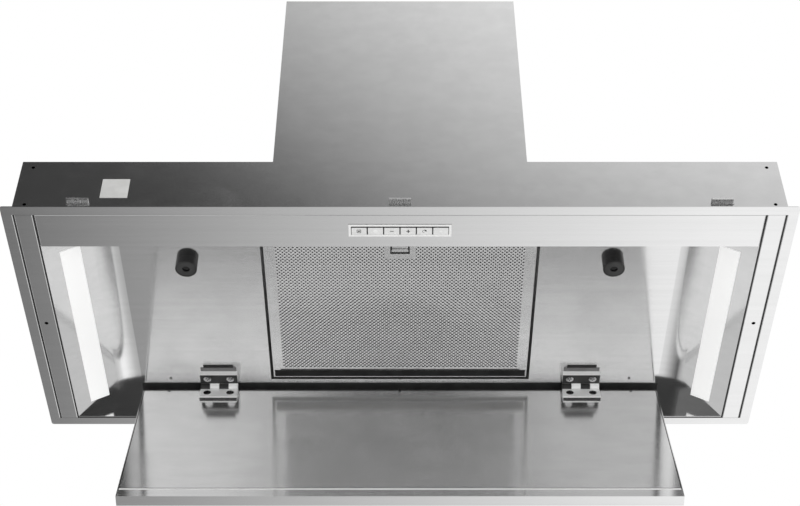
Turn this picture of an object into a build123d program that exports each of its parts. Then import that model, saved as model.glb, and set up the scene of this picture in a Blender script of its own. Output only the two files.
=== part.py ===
"""A concealed range hood with a drop-down suction panel, as separate pieces in millimetres.

X runs along the hood, Y from its front to its rear, and Z up. The origin is the centre of the rim
in plan, level with the rim's visible face. The suction panel hangs open, as it does for cleaning.
"""

from build123d import *
import math
import os

os.makedirs("parts", exist_ok=True)

# Clearances
fit_gap = 0.3
running_gap = 0.05

# Rim frame, which covers the edge of the cabinet's cut-out
rim_length = 860.0
rim_depth = 368.0
rim_border = 12.0
rim_sheet = 1.0
rim_corner = 3.0
rim_overhang = 10.0

# Outer casing
casing_height = 84.0
casing_sheet = 1.0
casing_foot_margin = 1.0
wall_hole_radius = 2.0
wall_hole_inset = 13.0
wall_hole_low = 14.6
wall_hole_high = 74.4
airway_margin = 3.0

# Recess pressed into the tray
tray_sheet = 1.0
recess_foot_inset = 35.0
recess_slope_run = 63.0
recess_bend = 60.0
recess_ceiling = 34.0
recess_front_inset = 58.0
recess_rear_inset = 14.0

# Strips that close the recess's edge
strip_sheet = 1.0
strip_gap = 1.6
strip_edge = 0.9
control_strip_depth = 47.2
side_hole_radius = 2.25
side_hole_inset = 22.0

# Keypad
keypad_length = 112.0
keypad_depth = 18.0
keypad_setback = 22.7
keypad_flange = 0.4
keypad_flange_width = 1.2
keypad_wall = 1.2
keypad_height = 13.0
button_count = 6
button_pitch = 17.8
button_length = 16.4
button_window_depth = 12.4
button_front_gap = 2.2
button_corner = 0.8
button_face = 0.3
button_cap_height = 4.0
button_stem = 4.0
button_stem_top = 8.0
button_travel = 1.2
board_thickness = 1.6
switch_size = 6.0
switch_plunger_radius = 1.5

# Front wall fittings
clip_inset = 70.0
clip_length = 24.0
clip_low = 14.5
clip_high = 20.0
clip_nose = 5.0
clip_sheet = 0.8
label_length = 30.0
label_height = 30.0
label_thickness = 0.3
label_inset = 108.0
label_low = 25.0

# Light bars on the slanted walls
led_length = 258.0
led_width = 23.5
led_foot_inset = 27.0
led_setback = 1.0
lens_wall = 1.4
lens_proud = 0.4
led_housing_depth = 14.0
led_housing_margin = 3.0
led_housing_wall = 1.0
led_chips = 12
led_chip_size = 5.0
led_chip_height = 1.0

# Suction panel and its hinges
pin_inset = 39.0
pin_height = 27.5
pin_radius = 1.5
panel_end_gap = 79.0
panel_length = 222.0
panel_past_pin = 2.9
panel_below_pin = 4.8
panel_thickness = 13.0
panel_sheet = 1.0
panel_lip = 15.0
panel_opening = 72.7
hinge_inset = 94.0
hinge_length = 45.5
hinge_reach = 21.5
hinge_plate = 2.0
hinge_face_gap = 0.4
hinge_spacer_gap = 1.5
knuckle_radius = 4.5
knuckle_count = 4
knuckle_gap = 0.3
hinge_screw_half_pitch = 14.0
hinge_screw_reach = 13.0
rivet_radius = 1.6
rivet_height = 0.5
rivet_inset = 32.0
rivet_setback = 5.5

# Cross-head screws
screw_head_radius = 4.6
screw_head_height = 1.4
screw_shank_radius = 2.0
screw_clearance = 0.1
screw_length = 8.5
cross_length = 5.2
cross_width = 1.3
cross_depth = 0.9

# Catch posts with their magnets
post_radius = 12.3
post_inset = 73.0
post_setback = 8.7
magnet_radius = 10.2
magnet_height = 4.0
magnet_bore = 4.35
magnet_seat = 3.0

# Grease filter
filter_half_length = 154.7
filter_gap = 1.3
filter_height = 11.6
filter_drop = 0.6
filter_sheet = 1.0
filter_side_border = 8.7
filter_end_border = 12.5
filter_rear_to_pin = 11.5
filter_front_gap = 5.0
filter_rear_gap = 2.6
filter_pivot_inset = 3.0
filter_pivot_height = 38.0
filter_pivot_radius = 2.0
filter_face_sheet = 0.8
grille_rows = 15
grille_columns = 19
grille_hole_radius = 4.5
back_slots = 12
back_bar_width = 8.1
grip_half_length = 18.0
grip_reach = 37.0
grip_window_half = 11.0
grip_window_depth = 20.0
grip_rear_border = 8.0
latch_half_length = 9.0
latch_thickness = 4.0
latch_travel = 4.0
latch_tab = 2.0
latch_lug = 1.5
spring_radius = 1.8
spring_bore = 1.1

# Air box between the filter and the motor housing
plenum_sheet = 1.0
plenum_margin = 1.0

# Motor housing
housing_length = 288.0
housing_depth = 280.0
housing_front_inset = 30.0
housing_top = 413.0
housing_sheet = 1.0
housing_foot = 12.0
housing_screw_rows = 3
housing_screw_pitch = 100.0
housing_screw_head = 3.6
cap_flange = 12.0

# Blower
blower_height = 222.0
scroll_radius = 118.0
scroll_length = 150.0
scroll_sheet = 1.5
scroll_flange = 10.0
inlet_radius = 70.0
outlet_half_length = 74.0
wheel_radius = 90.0
wheel_bore = 76.0
wheel_length = 130.0
wheel_ring = 3.0
blade_count = 36
blade_thickness = 1.0
blade_angle = 35.0
blade_share = 0.9
disc_offset = -20.0
disc_thickness = 2.0
hub_radius = 12.0
hub_length = 30.0
hub_setback = 10.0
shaft_radius = 4.0
shaft_end = 60.0
motor_radius = 45.0
motor_start = 12.0
motor_end = 88.0
motor_round = 4.0
bracket_plate = 2.0
bracket_arm = 14.0
bracket_ring = 4.0
mount_radius = 7.0
mount_height = 4.0
mount_circle = 84.0
mount_count = 3

# Duct collar and its non-return flaps
collar_radius = 75.0
collar_wall = 2.0
collar_height = 40.0
collar_flange = 8.0
flap_gap = 0.7
flap_sheet = 1.2
flap_axle_offset = 2.2
flap_axle_radius = 1.0
flap_barrel_radius = 1.8
flap_height = 8.0
ledge_width = 3.0
ledge_height = 2.0

# Electrical pieces
control_box_length = 130.0
control_box_depth = 120.0
control_box_height = 35.0
control_box_inset = 150.0
control_box_setback = 65.4
control_box_wall = 1.5
transformer_length = 32.0
transformer_depth = 42.0
transformer_height = 22.0
relay_length = 20.0
relay_depth = 22.0
relay_height = 14.0
component_gap = 6.0
driver_length = 130.0
driver_depth = 44.0
driver_height = 25.0
driver_inset = 145.0
driver_round = 3.0
driver_ear = 8.0
driver_ear_depth = 22.0
driver_ear_height = 2.0
capacitor_radius = 14.0
capacitor_height = 50.0
capacitor_offset = 100.0
gland_inset = 120.0
gland_setback = 54.0
gland_radius = 10.0
gland_bore = 5.0
gland_height = 16.0
gland_neck = 7.5
gland_nut_height = 5.0

# Places that follow from the sizes above
rim_half = rim_length / 2
rim_front = -rim_depth / 2
rim_rear = rim_depth / 2
casing_half = rim_half - rim_overhang
casing_front = rim_front + rim_overhang
casing_rear = rim_rear - rim_overhang
tray_half = casing_half - casing_sheet - fit_gap
tray_front = casing_front + casing_sheet + fit_gap
tray_rear = casing_rear - casing_sheet - fit_gap
recess_foot = rim_half - recess_foot_inset
recess_front = rim_front + recess_front_inset
recess_rear = rim_rear - recess_rear_inset
recess_rise = recess_ceiling - rim_sheet
slope = math.atan2(recess_rise, recess_slope_run)
tray_top = recess_ceiling + tray_sheet
strip_front = rim_front + rim_border + fit_gap
strip_rear = strip_front + control_strip_depth
keypad_row = strip_front + keypad_setback
button_front = keypad_row - button_window_depth / 2 + button_front_gap
button_rear = keypad_row + button_window_depth / 2 - fit_gap
side_hole_reach = rim_half - side_hole_inset
clip_reach = casing_half - clip_inset
label_offset = casing_half - label_inset
led_offset = recess_foot - led_foot_inset
pin_row = rim_rear - pin_inset
panel_half_length = recess_foot - panel_end_gap
panel_hinge_edge = pin_row + panel_past_pin
panel_free_edge = panel_hinge_edge - panel_length
panel_inner = pin_height - panel_below_pin
panel_outer = panel_inner - panel_thickness
hinge_offset = panel_half_length - hinge_inset
hinge_centres = (-hinge_offset, hinge_offset)
rivet_offset = panel_half_length - rivet_inset
post_offset = panel_half_length - post_inset
post_row = panel_free_edge + post_setback
filter_low = recess_ceiling - filter_drop
filter_high = filter_low + filter_height
filter_front = recess_front + filter_front_gap
filter_rear = pin_row - filter_rear_to_pin
filter_pivot_row = filter_rear - filter_pivot_inset
grip_rear = filter_front + filter_end_border + grip_reach
grip_window_rear = grip_rear - grip_rear_border
grip_window_front = grip_window_rear - grip_window_depth
face_low = filter_low + filter_sheet
face_high = face_low + filter_face_sheet
back_high = filter_high - filter_sheet
back_low = back_high - filter_face_sheet
latch_low = face_high + fit_gap
latch_high = latch_low + latch_thickness
latch_rear = grip_window_rear - latch_travel - fit_gap
lug_rear = grip_rear - fit_gap
opening_half = filter_half_length + filter_gap
opening_front = filter_front - filter_front_gap / 2
opening_rear = filter_rear + filter_rear_gap
plenum_half = opening_half + plenum_margin + plenum_sheet
plenum_front = opening_front
plenum_rear = opening_rear + plenum_sheet
plenum_high = casing_height - casing_sheet
housing_half = housing_length / 2
airway_half_length = housing_half - housing_sheet - airway_margin
housing_front = rim_front + housing_front_inset
housing_rear = housing_front + housing_depth
blower_row = (housing_front + housing_rear) / 2
duct_row = blower_row + scroll_radius - outlet_half_length
cap_low = housing_top - housing_sheet
flap_axis = housing_top + flap_height
control_box_offset = control_box_inset - casing_half
control_box_row = post_row + control_box_setback
driver_offset = casing_half - driver_inset
gland_offset = gland_inset - casing_half
gland_row = casing_rear - gland_setback


def block(x0, x1, y0, y1, z0, z1):
    """A box between two corners."""
    return Pos((x0 + x1) / 2, (y0 + y1) / 2, (z0 + z1) / 2) * Box(x1 - x0, y1 - y0, z1 - z0)


def bar_x(radius, x0, x1, y, z):
    """A round bar along X."""
    return Pos((x0 + x1) / 2, y, z) * Rot(0, 90, 0) * Cylinder(radius, x1 - x0)


def bar_y(radius, y0, y1, x, z):
    """A round bar along Y."""
    return Pos(x, (y0 + y1) / 2, z) * Rot(90, 0, 0) * Cylinder(radius, y1 - y0)


def bar_z(radius, z0, z1, x, y):
    """A round bar along Z."""
    return Pos(x, y, (z0 + z1) / 2) * Cylinder(radius, z1 - z0)


def both_sides(shape):
    """A shape and its mirror image on the hood's other half."""
    return Part() + [shape, mirror(shape, about=Plane.YZ)]


def left_of(shape):
    """The mirror image on the hood's left half."""
    return mirror(shape, about=Plane.YZ)


def open_panel(shape):
    """Swings a shape drawn with the panel shut to where it hangs open."""
    return shape.rotate(Axis((0, pin_row, pin_height), (1, 0, 0)), panel_opening)


def screw(length):
    """Cross-head screw: its flat head faces +Z at height 0 and its shank runs down."""
    head = bar_z(screw_head_radius, -screw_head_height, 0, 0, 0)
    shank = bar_z(screw_shank_radius, -length, -screw_head_height, 0, 0)
    cross = block(-cross_length / 2, cross_length / 2, -cross_width / 2, cross_width / 2, -cross_depth, 0)
    cross += block(-cross_width / 2, cross_width / 2, -cross_length / 2, cross_length / 2, -cross_depth, 0)
    return head + shank - cross


def screw_hole(length):
    """The pocket and hole that such a screw sits in."""
    pocket = bar_z(screw_head_radius + screw_clearance, -screw_head_height, screw_head_height, 0, 0)
    return pocket + bar_z(screw_shank_radius + screw_clearance, -length, -screw_head_height, 0, 0)


def side_hole(low, high):
    """The fixing holes near the hood's two ends."""
    return both_sides(bar_z(side_hole_radius, low, high, side_hole_reach, 0))


def face_edges(shape, along, across):
    """The edges of a shape's lowest face that run along one axis, in their order across it."""
    return shape.edges().filter_by(along).group_by(Axis.Z)[0].sort_by(across)


# Rim, casing and front wall fittings
def rim_frame():
    """Flat frame with a round at each corner and rolled edges beside the side strips."""
    frame = block(-rim_half, rim_half, rim_front, rim_rear, 0, rim_sheet)
    frame = fillet(frame.edges().filter_by(Axis.Z), rim_corner)
    inner_half = rim_half - rim_border
    frame -= block(-inner_half, inner_half, rim_front + rim_border, rim_rear - rim_border, 0, rim_sheet)
    return fillet(face_edges(frame, Axis.Y, Axis.X)[1:-1], strip_edge)


def wall_hole_places():
    """Centres, as (x, z), of the four screw holes in the front wall."""
    reach = casing_half - wall_hole_inset
    return [(x, z) for x in (-reach, reach) for z in (wall_hole_low, wall_hole_high)]


def outer_casing():
    """Folded box, open below, with an outward foot that lies on the rim."""
    casing = block(-casing_half, casing_half, casing_front, casing_rear, rim_sheet, casing_height)
    casing -= block(
        -casing_half + casing_sheet,
        casing_half - casing_sheet,
        casing_front + casing_sheet,
        casing_rear - casing_sheet,
        rim_sheet,
        casing_height - casing_sheet,
    )
    reach = rim_half - casing_foot_margin
    foot = block(
        -reach,
        reach,
        rim_front + casing_foot_margin,
        rim_rear - casing_foot_margin,
        rim_sheet,
        rim_sheet + casing_sheet,
    )
    foot -= block(-casing_half, casing_half, casing_front, casing_rear, rim_sheet, rim_sheet + casing_sheet)
    casing += foot
    casing -= block(
        -airway_half_length,
        airway_half_length,
        plenum_front + airway_margin,
        housing_rear - housing_sheet - airway_margin,
        casing_height - casing_sheet,
        casing_height,
    )
    for x, z in wall_hole_places():
        casing -= bar_y(wall_hole_radius, casing_front, casing_front + casing_sheet, x, z)
    for x, y in housing_screw_places():
        casing -= bar_z(screw_shank_radius + screw_clearance, plenum_high, casing_height, x, y)
    casing -= bar_z(gland_neck + fit_gap, plenum_high, casing_height, gland_offset, gland_row)
    return casing


def mounting_clips():
    """Three bent tongues on the front wall, which hook behind the cabinet's edge."""
    clips = []
    for x in (-clip_reach, 0, clip_reach):
        low_x = x - clip_length / 2
        high_x = x + clip_length / 2
        back = block(low_x, high_x, casing_front - clip_sheet, casing_front, clip_low, clip_high)
        nose_front = casing_front - clip_nose
        nose_low = (clip_low + clip_high) / 2
        top = block(low_x, high_x, nose_front, casing_front, clip_high - clip_sheet, clip_high)
        nose = block(low_x, high_x, nose_front, nose_front + clip_sheet, nose_low, clip_high)
        clips.append(back + top + nose)
    return Part() + clips


def rating_plate():
    """Blank label on the front wall."""
    return block(
        -label_offset - label_length / 2,
        -label_offset + label_length / 2,
        casing_front - label_thickness,
        casing_front,
        label_low,
        label_low + label_height,
    )


# Inner tray and the strips round its mouth
def recess_shape(offset, low, front, rear):
    """The recess's cross-section, grown by an offset, as a prism from front to rear."""
    foot_x = recess_foot + offset * math.sin(slope)
    foot_z = rim_sheet + offset * math.cos(slope)
    top_z = recess_ceiling + offset
    foot_x += (foot_z - low) / math.tan(slope)
    top_x = foot_x - (top_z - low) / math.tan(slope)
    corners = [(-foot_x, low), (-top_x, top_z), (top_x, top_z), (foot_x, low)]
    outline = Polyline(*[(x, front, z) for x, z in corners], close=True)
    prism = extrude(make_face(outline), amount=rear - front, dir=(0, 1, 0))
    bends = prism.edges().filter_by(Axis.Y).group_by(Axis.Z)[-1]
    return fillet(bends, recess_bend + offset)


def slope_plane():
    """Plane on the right slanted wall: x runs up the slope, y to the rear, z into the recess."""
    run = recess_foot - led_offset
    height = rim_sheet + run * math.tan(slope)
    row = (recess_front + recess_rear) / 2 + led_setback
    up_slope = (-math.cos(slope), 0, math.sin(slope))
    inward = (-math.sin(slope), 0, -math.cos(slope))
    return Plane(origin=(led_offset, row, height), x_dir=up_slope, z_dir=inward)


def led_window():
    """Cut-out in the right slanted wall for its light bar."""
    half_width = led_width / 2 + fit_gap
    half_length = led_length / 2 + fit_gap
    window = block(-half_width, half_width, -half_length, half_length, -2 * tray_sheet, tray_sheet)
    return slope_plane() * window


def inner_tray():
    """Pressed tray: a flange on the rim's level, slanted sides, upright ends and the ceiling."""
    flange = block(-tray_half, tray_half, tray_front, tray_rear, rim_sheet, rim_sheet + tray_sheet)
    tray = flange + recess_shape(
        tray_sheet, rim_sheet + tray_sheet, recess_front - tray_sheet, recess_rear + tray_sheet
    )
    tray -= recess_shape(0, rim_sheet, recess_front, recess_rear)
    tray -= block(-opening_half, opening_half, opening_front, opening_rear, recess_ceiling, tray_top)
    tray -= both_sides(led_window())
    window_half = keypad_length / 2 - keypad_flange_width + fit_gap
    window_deep = keypad_depth / 2 - keypad_flange_width + fit_gap
    tray -= block(
        -window_half,
        window_half,
        keypad_row - window_deep,
        keypad_row + window_deep,
        rim_sheet,
        rim_sheet + tray_sheet,
    )
    tray -= side_hole(rim_sheet, rim_sheet + tray_sheet)
    for x, y in ceiling_screw_places():
        tray -= bar_z(screw_shank_radius + screw_clearance, recess_ceiling, tray_top, x, y)
    return tray


def ceiling_screw_places():
    """Centres, as (x, y), of the screws that go up through the ceiling."""
    row = pin_row - hinge_screw_reach
    places = [(-post_offset, post_row), (post_offset, post_row)]
    for centre in hinge_centres:
        places += [(centre + side * hinge_screw_half_pitch, row) for side in (-1, 1)]
    return places


def control_strip():
    """Front strip with the keypad's window and rolled front and end edges."""
    half = recess_foot - fit_gap
    window_half = keypad_length / 2 - keypad_flange_width + fit_gap
    window_deep = keypad_depth / 2 - keypad_flange_width + fit_gap
    strip = block(-half, half, strip_front, strip_rear, rim_sheet - strip_sheet, rim_sheet)
    ends = face_edges(strip, Axis.Y, Axis.X)
    strip = fillet([ends[0], ends[-1], face_edges(strip, Axis.X, Axis.Y)[0]], strip_edge)
    return strip - block(
        -window_half,
        window_half,
        keypad_row - window_deep,
        keypad_row + window_deep,
        rim_sheet - strip_sheet,
        rim_sheet,
    )


def side_strip():
    """The right side strip, with its rolled long edges and its fixing hole."""
    inner = recess_foot + strip_gap
    outer = rim_half - rim_border - strip_gap
    rear = rim_rear - rim_border - fit_gap
    strip = block(inner, outer, strip_front, rear, rim_sheet - strip_sheet, rim_sheet)
    strip = fillet(face_edges(strip, Axis.Y, Axis.X), strip_edge)
    return strip - bar_z(side_hole_radius, rim_sheet - strip_sheet, rim_sheet, side_hole_reach, 0)


# Keypad
def keypad_bezel():
    """Bezel whose thin flange lies on the strip and whose walls carry the board."""
    half = keypad_length / 2
    deep = keypad_depth / 2
    face = block(-half, half, keypad_row - deep, keypad_row + deep, -keypad_flange, 0)
    wall_half = half - keypad_flange_width
    wall_deep = deep - keypad_flange_width
    body = block(-wall_half, wall_half, keypad_row - wall_deep, keypad_row + wall_deep, 0, keypad_height)
    inner_half = wall_half - keypad_wall
    inner_deep = wall_deep - keypad_wall
    body -= block(-inner_half, inner_half, keypad_row - inner_deep, keypad_row + inner_deep, 0, keypad_height)
    window_half = button_count * button_pitch / 2
    window_deep = button_window_depth / 2
    sill_top = button_cap_height - button_face
    sill = block(-wall_half, wall_half, keypad_row - wall_deep, keypad_row + wall_deep, 0, sill_top)
    bezel = face + sill + body
    bezel -= block(
        -window_half,
        window_half,
        keypad_row - window_deep,
        keypad_row + window_deep,
        -keypad_flange,
        sill_top,
    )
    return bezel


def button_centre(index):
    """X of one button's centre, counted from the left."""
    return (index - (button_count - 1) / 2) * button_pitch


def button(index):
    """Push button: a flat cap with a stem towards its switch."""
    x = button_centre(index)
    cap = block(
        x - button_length / 2,
        x + button_length / 2,
        button_front,
        button_rear,
        -button_face,
        button_cap_height - button_face,
    )
    cap = fillet(cap.edges().filter_by(Axis.Z), button_corner)
    stem = block(
        x - button_stem / 2,
        x + button_stem / 2,
        keypad_row - button_stem / 2,
        keypad_row + button_stem / 2,
        button_cap_height - button_face,
        button_stem_top,
    )
    return cap + stem


def keypad_board():
    """Printed board that lies on the bezel's walls."""
    half = keypad_length / 2
    deep = keypad_depth / 2
    return block(
        -half, half, keypad_row - deep, keypad_row + deep, keypad_height, keypad_height + board_thickness
    )


def tact_switches():
    """Six switches under the board, each shown pressed."""
    low = button_stem_top + button_travel + fit_gap
    switches = []
    for index in range(button_count):
        x = button_centre(index)
        body_low = (low + keypad_height) / 2
        body = block(
            x - switch_size / 2,
            x + switch_size / 2,
            keypad_row - switch_size / 2,
            keypad_row + switch_size / 2,
            body_low,
            keypad_height,
        )
        plunger = bar_z(switch_plunger_radius, low, body_low, x, keypad_row)
        switches.append(body + plunger)
    return Part() + switches


# Light bars
def led_diffuser():
    """Lens of the right light bar: a plate in the wall's cut-out, with legs down to the board."""
    half_width = led_width / 2
    half_length = led_length / 2
    floor = led_housing_depth - led_housing_wall - board_thickness
    lens = block(-half_width, half_width, -half_length, half_length, -floor, lens_proud)
    lens -= block(
        -half_width + lens_wall,
        half_width - lens_wall,
        -half_length + lens_wall,
        half_length - lens_wall,
        -floor,
        lens_proud - lens_wall,
    )
    return slope_plane() * lens


def led_board():
    """Board of the right light bar, with its row of chips."""
    half_width = led_width / 2
    half_length = led_length / 2
    back = led_housing_depth - led_housing_wall
    board = block(-half_width, half_width, -half_length, half_length, -back, -back + board_thickness)
    chip_pitch = led_length / led_chips
    for index in range(led_chips):
        y = (index - (led_chips - 1) / 2) * chip_pitch
        board += block(
            -led_chip_size / 2,
            led_chip_size / 2,
            y - led_chip_size / 2,
            y + led_chip_size / 2,
            -back + board_thickness,
            -back + board_thickness + led_chip_height,
        )
    return slope_plane() * board


def led_housing():
    """Channel behind the right slanted wall, which holds the board and the lens."""
    half_width = led_width / 2 + led_housing_margin
    half_length = led_length / 2 + led_housing_margin
    shell = block(-half_width, half_width, -half_length, half_length, -led_housing_depth, -tray_sheet)
    inner_width = led_width / 2 + fit_gap
    inner_length = led_length / 2 + fit_gap
    shell -= block(
        -inner_width,
        inner_width,
        -inner_length,
        inner_length,
        -led_housing_depth + led_housing_wall,
        -tray_sheet,
    )
    return slope_plane() * shell


# Catch posts
def catch_post():
    """Right post: a black cylinder under the ceiling with a pocket for its magnet."""
    low = panel_inner + fit_gap
    post = bar_z(post_radius, low, recess_ceiling, post_offset, post_row)
    post -= bar_z(magnet_radius + running_gap, low, low + magnet_height, post_offset, post_row)
    return post - bar_z(
        screw_shank_radius + screw_clearance, low + magnet_height, recess_ceiling, post_offset, post_row
    )


def pot_magnet():
    """Right ring magnet, set into its post's face."""
    low = panel_inner + fit_gap
    magnet = bar_z(magnet_radius, low, low + magnet_height, post_offset, post_row)
    magnet -= bar_z(magnet_bore, low, low + magnet_seat, post_offset, post_row)
    return magnet - bar_z(
        screw_shank_radius + screw_clearance, low + magnet_seat, low + magnet_height, post_offset, post_row
    )


def post_screw():
    """Right post's screw, from the magnet's seat up through the ceiling."""
    seat = panel_inner + fit_gap + magnet_seat
    head = bar_z(magnet_bore - screw_clearance, seat - screw_head_height, seat, post_offset, post_row)
    shank = bar_z(screw_shank_radius, seat, tray_top + screw_head_height, post_offset, post_row)
    return head + shank


# Hinges
def knuckle_span(centre, index):
    """Low and high X of one knuckle."""
    pitch = hinge_length / knuckle_count
    low = centre - hinge_length / 2 + index * pitch
    return low + knuckle_gap / 2, low + pitch - knuckle_gap / 2


def hinge_leaf(centre, first, low, high):
    """A leaf drawn with the panel shut; first is the index of its leftmost knuckle."""
    front = pin_row - hinge_reach
    clear = pin_row - knuckle_radius - fit_gap * 2
    leaf = block(centre - hinge_length / 2, centre + hinge_length / 2, front, clear, low, high)
    for index in range(first, knuckle_count, 2):
        x0, x1 = knuckle_span(centre, index)
        leaf += block(x0, x1, clear, pin_row, low, high)
        leaf += bar_x(knuckle_radius, x0, x1, pin_row, pin_height)
    return leaf - bar_x(
        pin_radius + running_gap,
        centre - hinge_length / 2,
        centre + hinge_length / 2,
        pin_row,
        pin_height,
    )


def hinge_screw_xs(centre):
    """X of a hinge's two screws."""
    return [centre - hinge_screw_half_pitch, centre + hinge_screw_half_pitch]


def fixed_leaf(centre):
    """Leaf under the ceiling spacer, its face down."""
    low = pin_height + hinge_face_gap
    leaf = hinge_leaf(centre, 1, low, low + hinge_plate)
    for x in hinge_screw_xs(centre):
        leaf -= Pos(x, pin_row - hinge_screw_reach, low) * Rot(180, 0, 0) * screw_hole(screw_length)
    return leaf


def moving_leaf(centre):
    """Leaf on the panel's spacer, drawn shut with its face up."""
    high = pin_height - hinge_face_gap
    leaf = hinge_leaf(centre, 0, high - hinge_plate, high)
    for x in hinge_screw_xs(centre):
        leaf -= Pos(x, pin_row - hinge_screw_reach, high) * screw_hole(screw_length)
    return leaf


def hinge_spacer(centre, low, high):
    """Block between a leaf and the sheet behind it."""
    spacer = block(
        centre - hinge_length / 2,
        centre + hinge_length / 2,
        pin_row - hinge_reach,
        pin_row - knuckle_radius - hinge_spacer_gap,
        low,
        high,
    )
    for x in hinge_screw_xs(centre):
        spacer -= bar_z(
            screw_shank_radius + screw_clearance, low, high, x, pin_row - hinge_screw_reach
        )
    return spacer


def ceiling_spacer(centre):
    """Spacer between the ceiling and the fixed leaf."""
    return hinge_spacer(centre, pin_height + hinge_face_gap + hinge_plate, recess_ceiling)


def panel_spacer(centre):
    """Spacer between the panel and the moving leaf, drawn shut."""
    return hinge_spacer(centre, panel_inner, pin_height - hinge_face_gap - hinge_plate)


def hinge_pin(centre):
    """Pin through a hinge's knuckles."""
    return bar_x(
        pin_radius, centre - hinge_length / 2, centre + hinge_length / 2, pin_row, pin_height
    )


def ceiling_screws():
    """The hinges' four screws into the ceiling and the catch posts' two."""
    low = pin_height + hinge_face_gap
    screws = [post_screw(), left_of(post_screw())]
    for centre in hinge_centres:
        for x in hinge_screw_xs(centre):
            screws.append(
                Pos(x, pin_row - hinge_screw_reach, low) * Rot(180, 0, 0) * screw(screw_length)
            )
    return Part() + screws


# Suction panel, drawn shut
def panel_outer_skin():
    """Pan with folded edges and a lip along its free edge."""
    half = panel_half_length
    high = panel_inner
    pan = block(-half, half, panel_free_edge, panel_hinge_edge, panel_outer, high)
    pan -= block(
        -half + panel_sheet,
        half - panel_sheet,
        panel_free_edge + panel_sheet,
        panel_hinge_edge - panel_sheet,
        panel_outer + panel_sheet,
        high,
    )
    return pan + block(
        -half + panel_sheet,
        half - panel_sheet,
        panel_free_edge + panel_sheet,
        panel_free_edge + panel_lip,
        high - panel_sheet,
        high,
    )


def panel_screw_holes(depth):
    """Holes for the moving leaves' screws, from the leaf's face down."""
    face = pin_height - hinge_face_gap
    holes = []
    for centre in hinge_centres:
        for x in hinge_screw_xs(centre):
            holes.append(
                bar_z(
                    screw_shank_radius + screw_clearance, face - depth, face, x, pin_row - hinge_screw_reach
                )
            )
    return holes


def panel_inner_skin():
    """Flat sheet that closes the pan."""
    half = panel_half_length - panel_sheet - fit_gap
    skin = block(
        -half,
        half,
        panel_free_edge + panel_lip + fit_gap,
        panel_hinge_edge - panel_sheet - fit_gap,
        panel_inner - panel_sheet,
        panel_inner,
    )
    return skin - panel_screw_holes(screw_length)


def panel_core():
    """Board that fills the pan between its skins."""
    half = panel_half_length - panel_sheet - fit_gap
    core = block(
        -half,
        half,
        panel_free_edge + panel_sheet + fit_gap,
        panel_hinge_edge - panel_sheet - fit_gap,
        panel_outer + panel_sheet,
        panel_inner - panel_sheet,
    )
    return core - panel_screw_holes(screw_length)


def panel_screws():
    """Four screws that hold the moving leaves."""
    face = pin_height - hinge_face_gap
    screws = []
    for centre in hinge_centres:
        for x in hinge_screw_xs(centre):
            screws.append(Pos(x, pin_row - hinge_screw_reach, face) * screw(screw_length))
    return Part() + screws


def panel_rivets():
    """Three flat rivets near the hinge edge."""
    row = panel_hinge_edge - rivet_setback
    return Part() + [
        bar_z(rivet_radius, panel_inner, panel_inner + rivet_height, x, row)
        for x in (-rivet_offset, 0, rivet_offset)
    ]


# Grease filter
def filter_layer(low, high):
    """A layer that lies inside the filter's folded frame."""
    gap = filter_sheet + fit_gap
    return block(
        -filter_half_length + gap,
        filter_half_length - gap,
        filter_front + gap,
        filter_rear - gap,
        low,
        high,
    )


def grip_pocket(low, high):
    """Space that the layers leave free for the latch, its spring and the spring's lug."""
    half = latch_half_length + fit_gap
    return block(-half, half, filter_front, grip_rear - fit_gap / 2, low, high)


def filter_frame():
    """Folded frame with the grip's plate at its front, and a pivot pin at each rear corner."""
    frame = block(
        -filter_half_length, filter_half_length, filter_front, filter_rear, filter_low, filter_high
    )
    frame -= block(
        -filter_half_length + filter_sheet,
        filter_half_length - filter_sheet,
        filter_front + filter_sheet,
        filter_rear - filter_sheet,
        face_low,
        back_high,
    )
    frame -= block(
        -filter_half_length + filter_side_border,
        filter_half_length - filter_side_border,
        filter_front + filter_end_border,
        filter_rear - filter_end_border,
        filter_low,
        filter_high,
    )
    frame += block(
        -grip_half_length,
        grip_half_length,
        filter_front + filter_end_border,
        grip_rear,
        filter_low,
        face_low,
    )
    frame -= block(
        -grip_window_half,
        grip_window_half,
        grip_window_front,
        grip_window_rear,
        filter_low,
        face_low,
    )
    frame += block(
        -latch_half_length + fit_gap,
        latch_half_length - fit_gap,
        lug_rear - latch_lug,
        lug_rear,
        face_low,
        latch_high,
    )
    slot_half = latch_half_length + fit_gap
    frame -= block(
        -slot_half,
        slot_half,
        filter_front,
        filter_front + filter_sheet,
        latch_low - fit_gap,
        latch_high + fit_gap,
    )
    pin_end = plenum_half + fit_gap
    pin_start = filter_half_length - filter_sheet
    pin = bar_x(filter_pivot_radius, pin_start, pin_end, filter_pivot_row, filter_pivot_height)
    return frame + pin + left_of(pin)


def filter_face():
    """Perforated sheet that shows below."""
    sheet = filter_layer(face_low, face_high)
    length = 2 * (filter_half_length - filter_side_border - grille_hole_radius)
    depth = filter_rear - filter_front - 2 * (filter_end_border + grille_hole_radius)
    pitch_x = length / grille_columns
    pitch_y = depth / grille_rows
    middle = (filter_front + filter_rear) / 2
    holes = []
    for row in range(grille_rows):
        shift = pitch_x / 4 if row % 2 else -pitch_x / 4
        for column in range(grille_columns):
            x = (column - (grille_columns - 1) / 2) * pitch_x + shift
            y = middle + (row - (grille_rows - 1) / 2) * pitch_y
            reach = grip_half_length + grille_hole_radius
            if abs(x) > reach or y > grip_rear + grille_hole_radius:
                holes.append(Pos(x, y) * Circle(grille_hole_radius))
    field = extrude(Sketch() + holes, amount=face_high - face_low)
    sheet -= Pos(0, 0, face_low) * field
    half = grip_window_half + fit_gap
    sheet -= block(
        -half, half, grip_window_front - fit_gap, grip_rear - fit_gap / 2, face_low, face_high
    )
    return sheet


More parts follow.
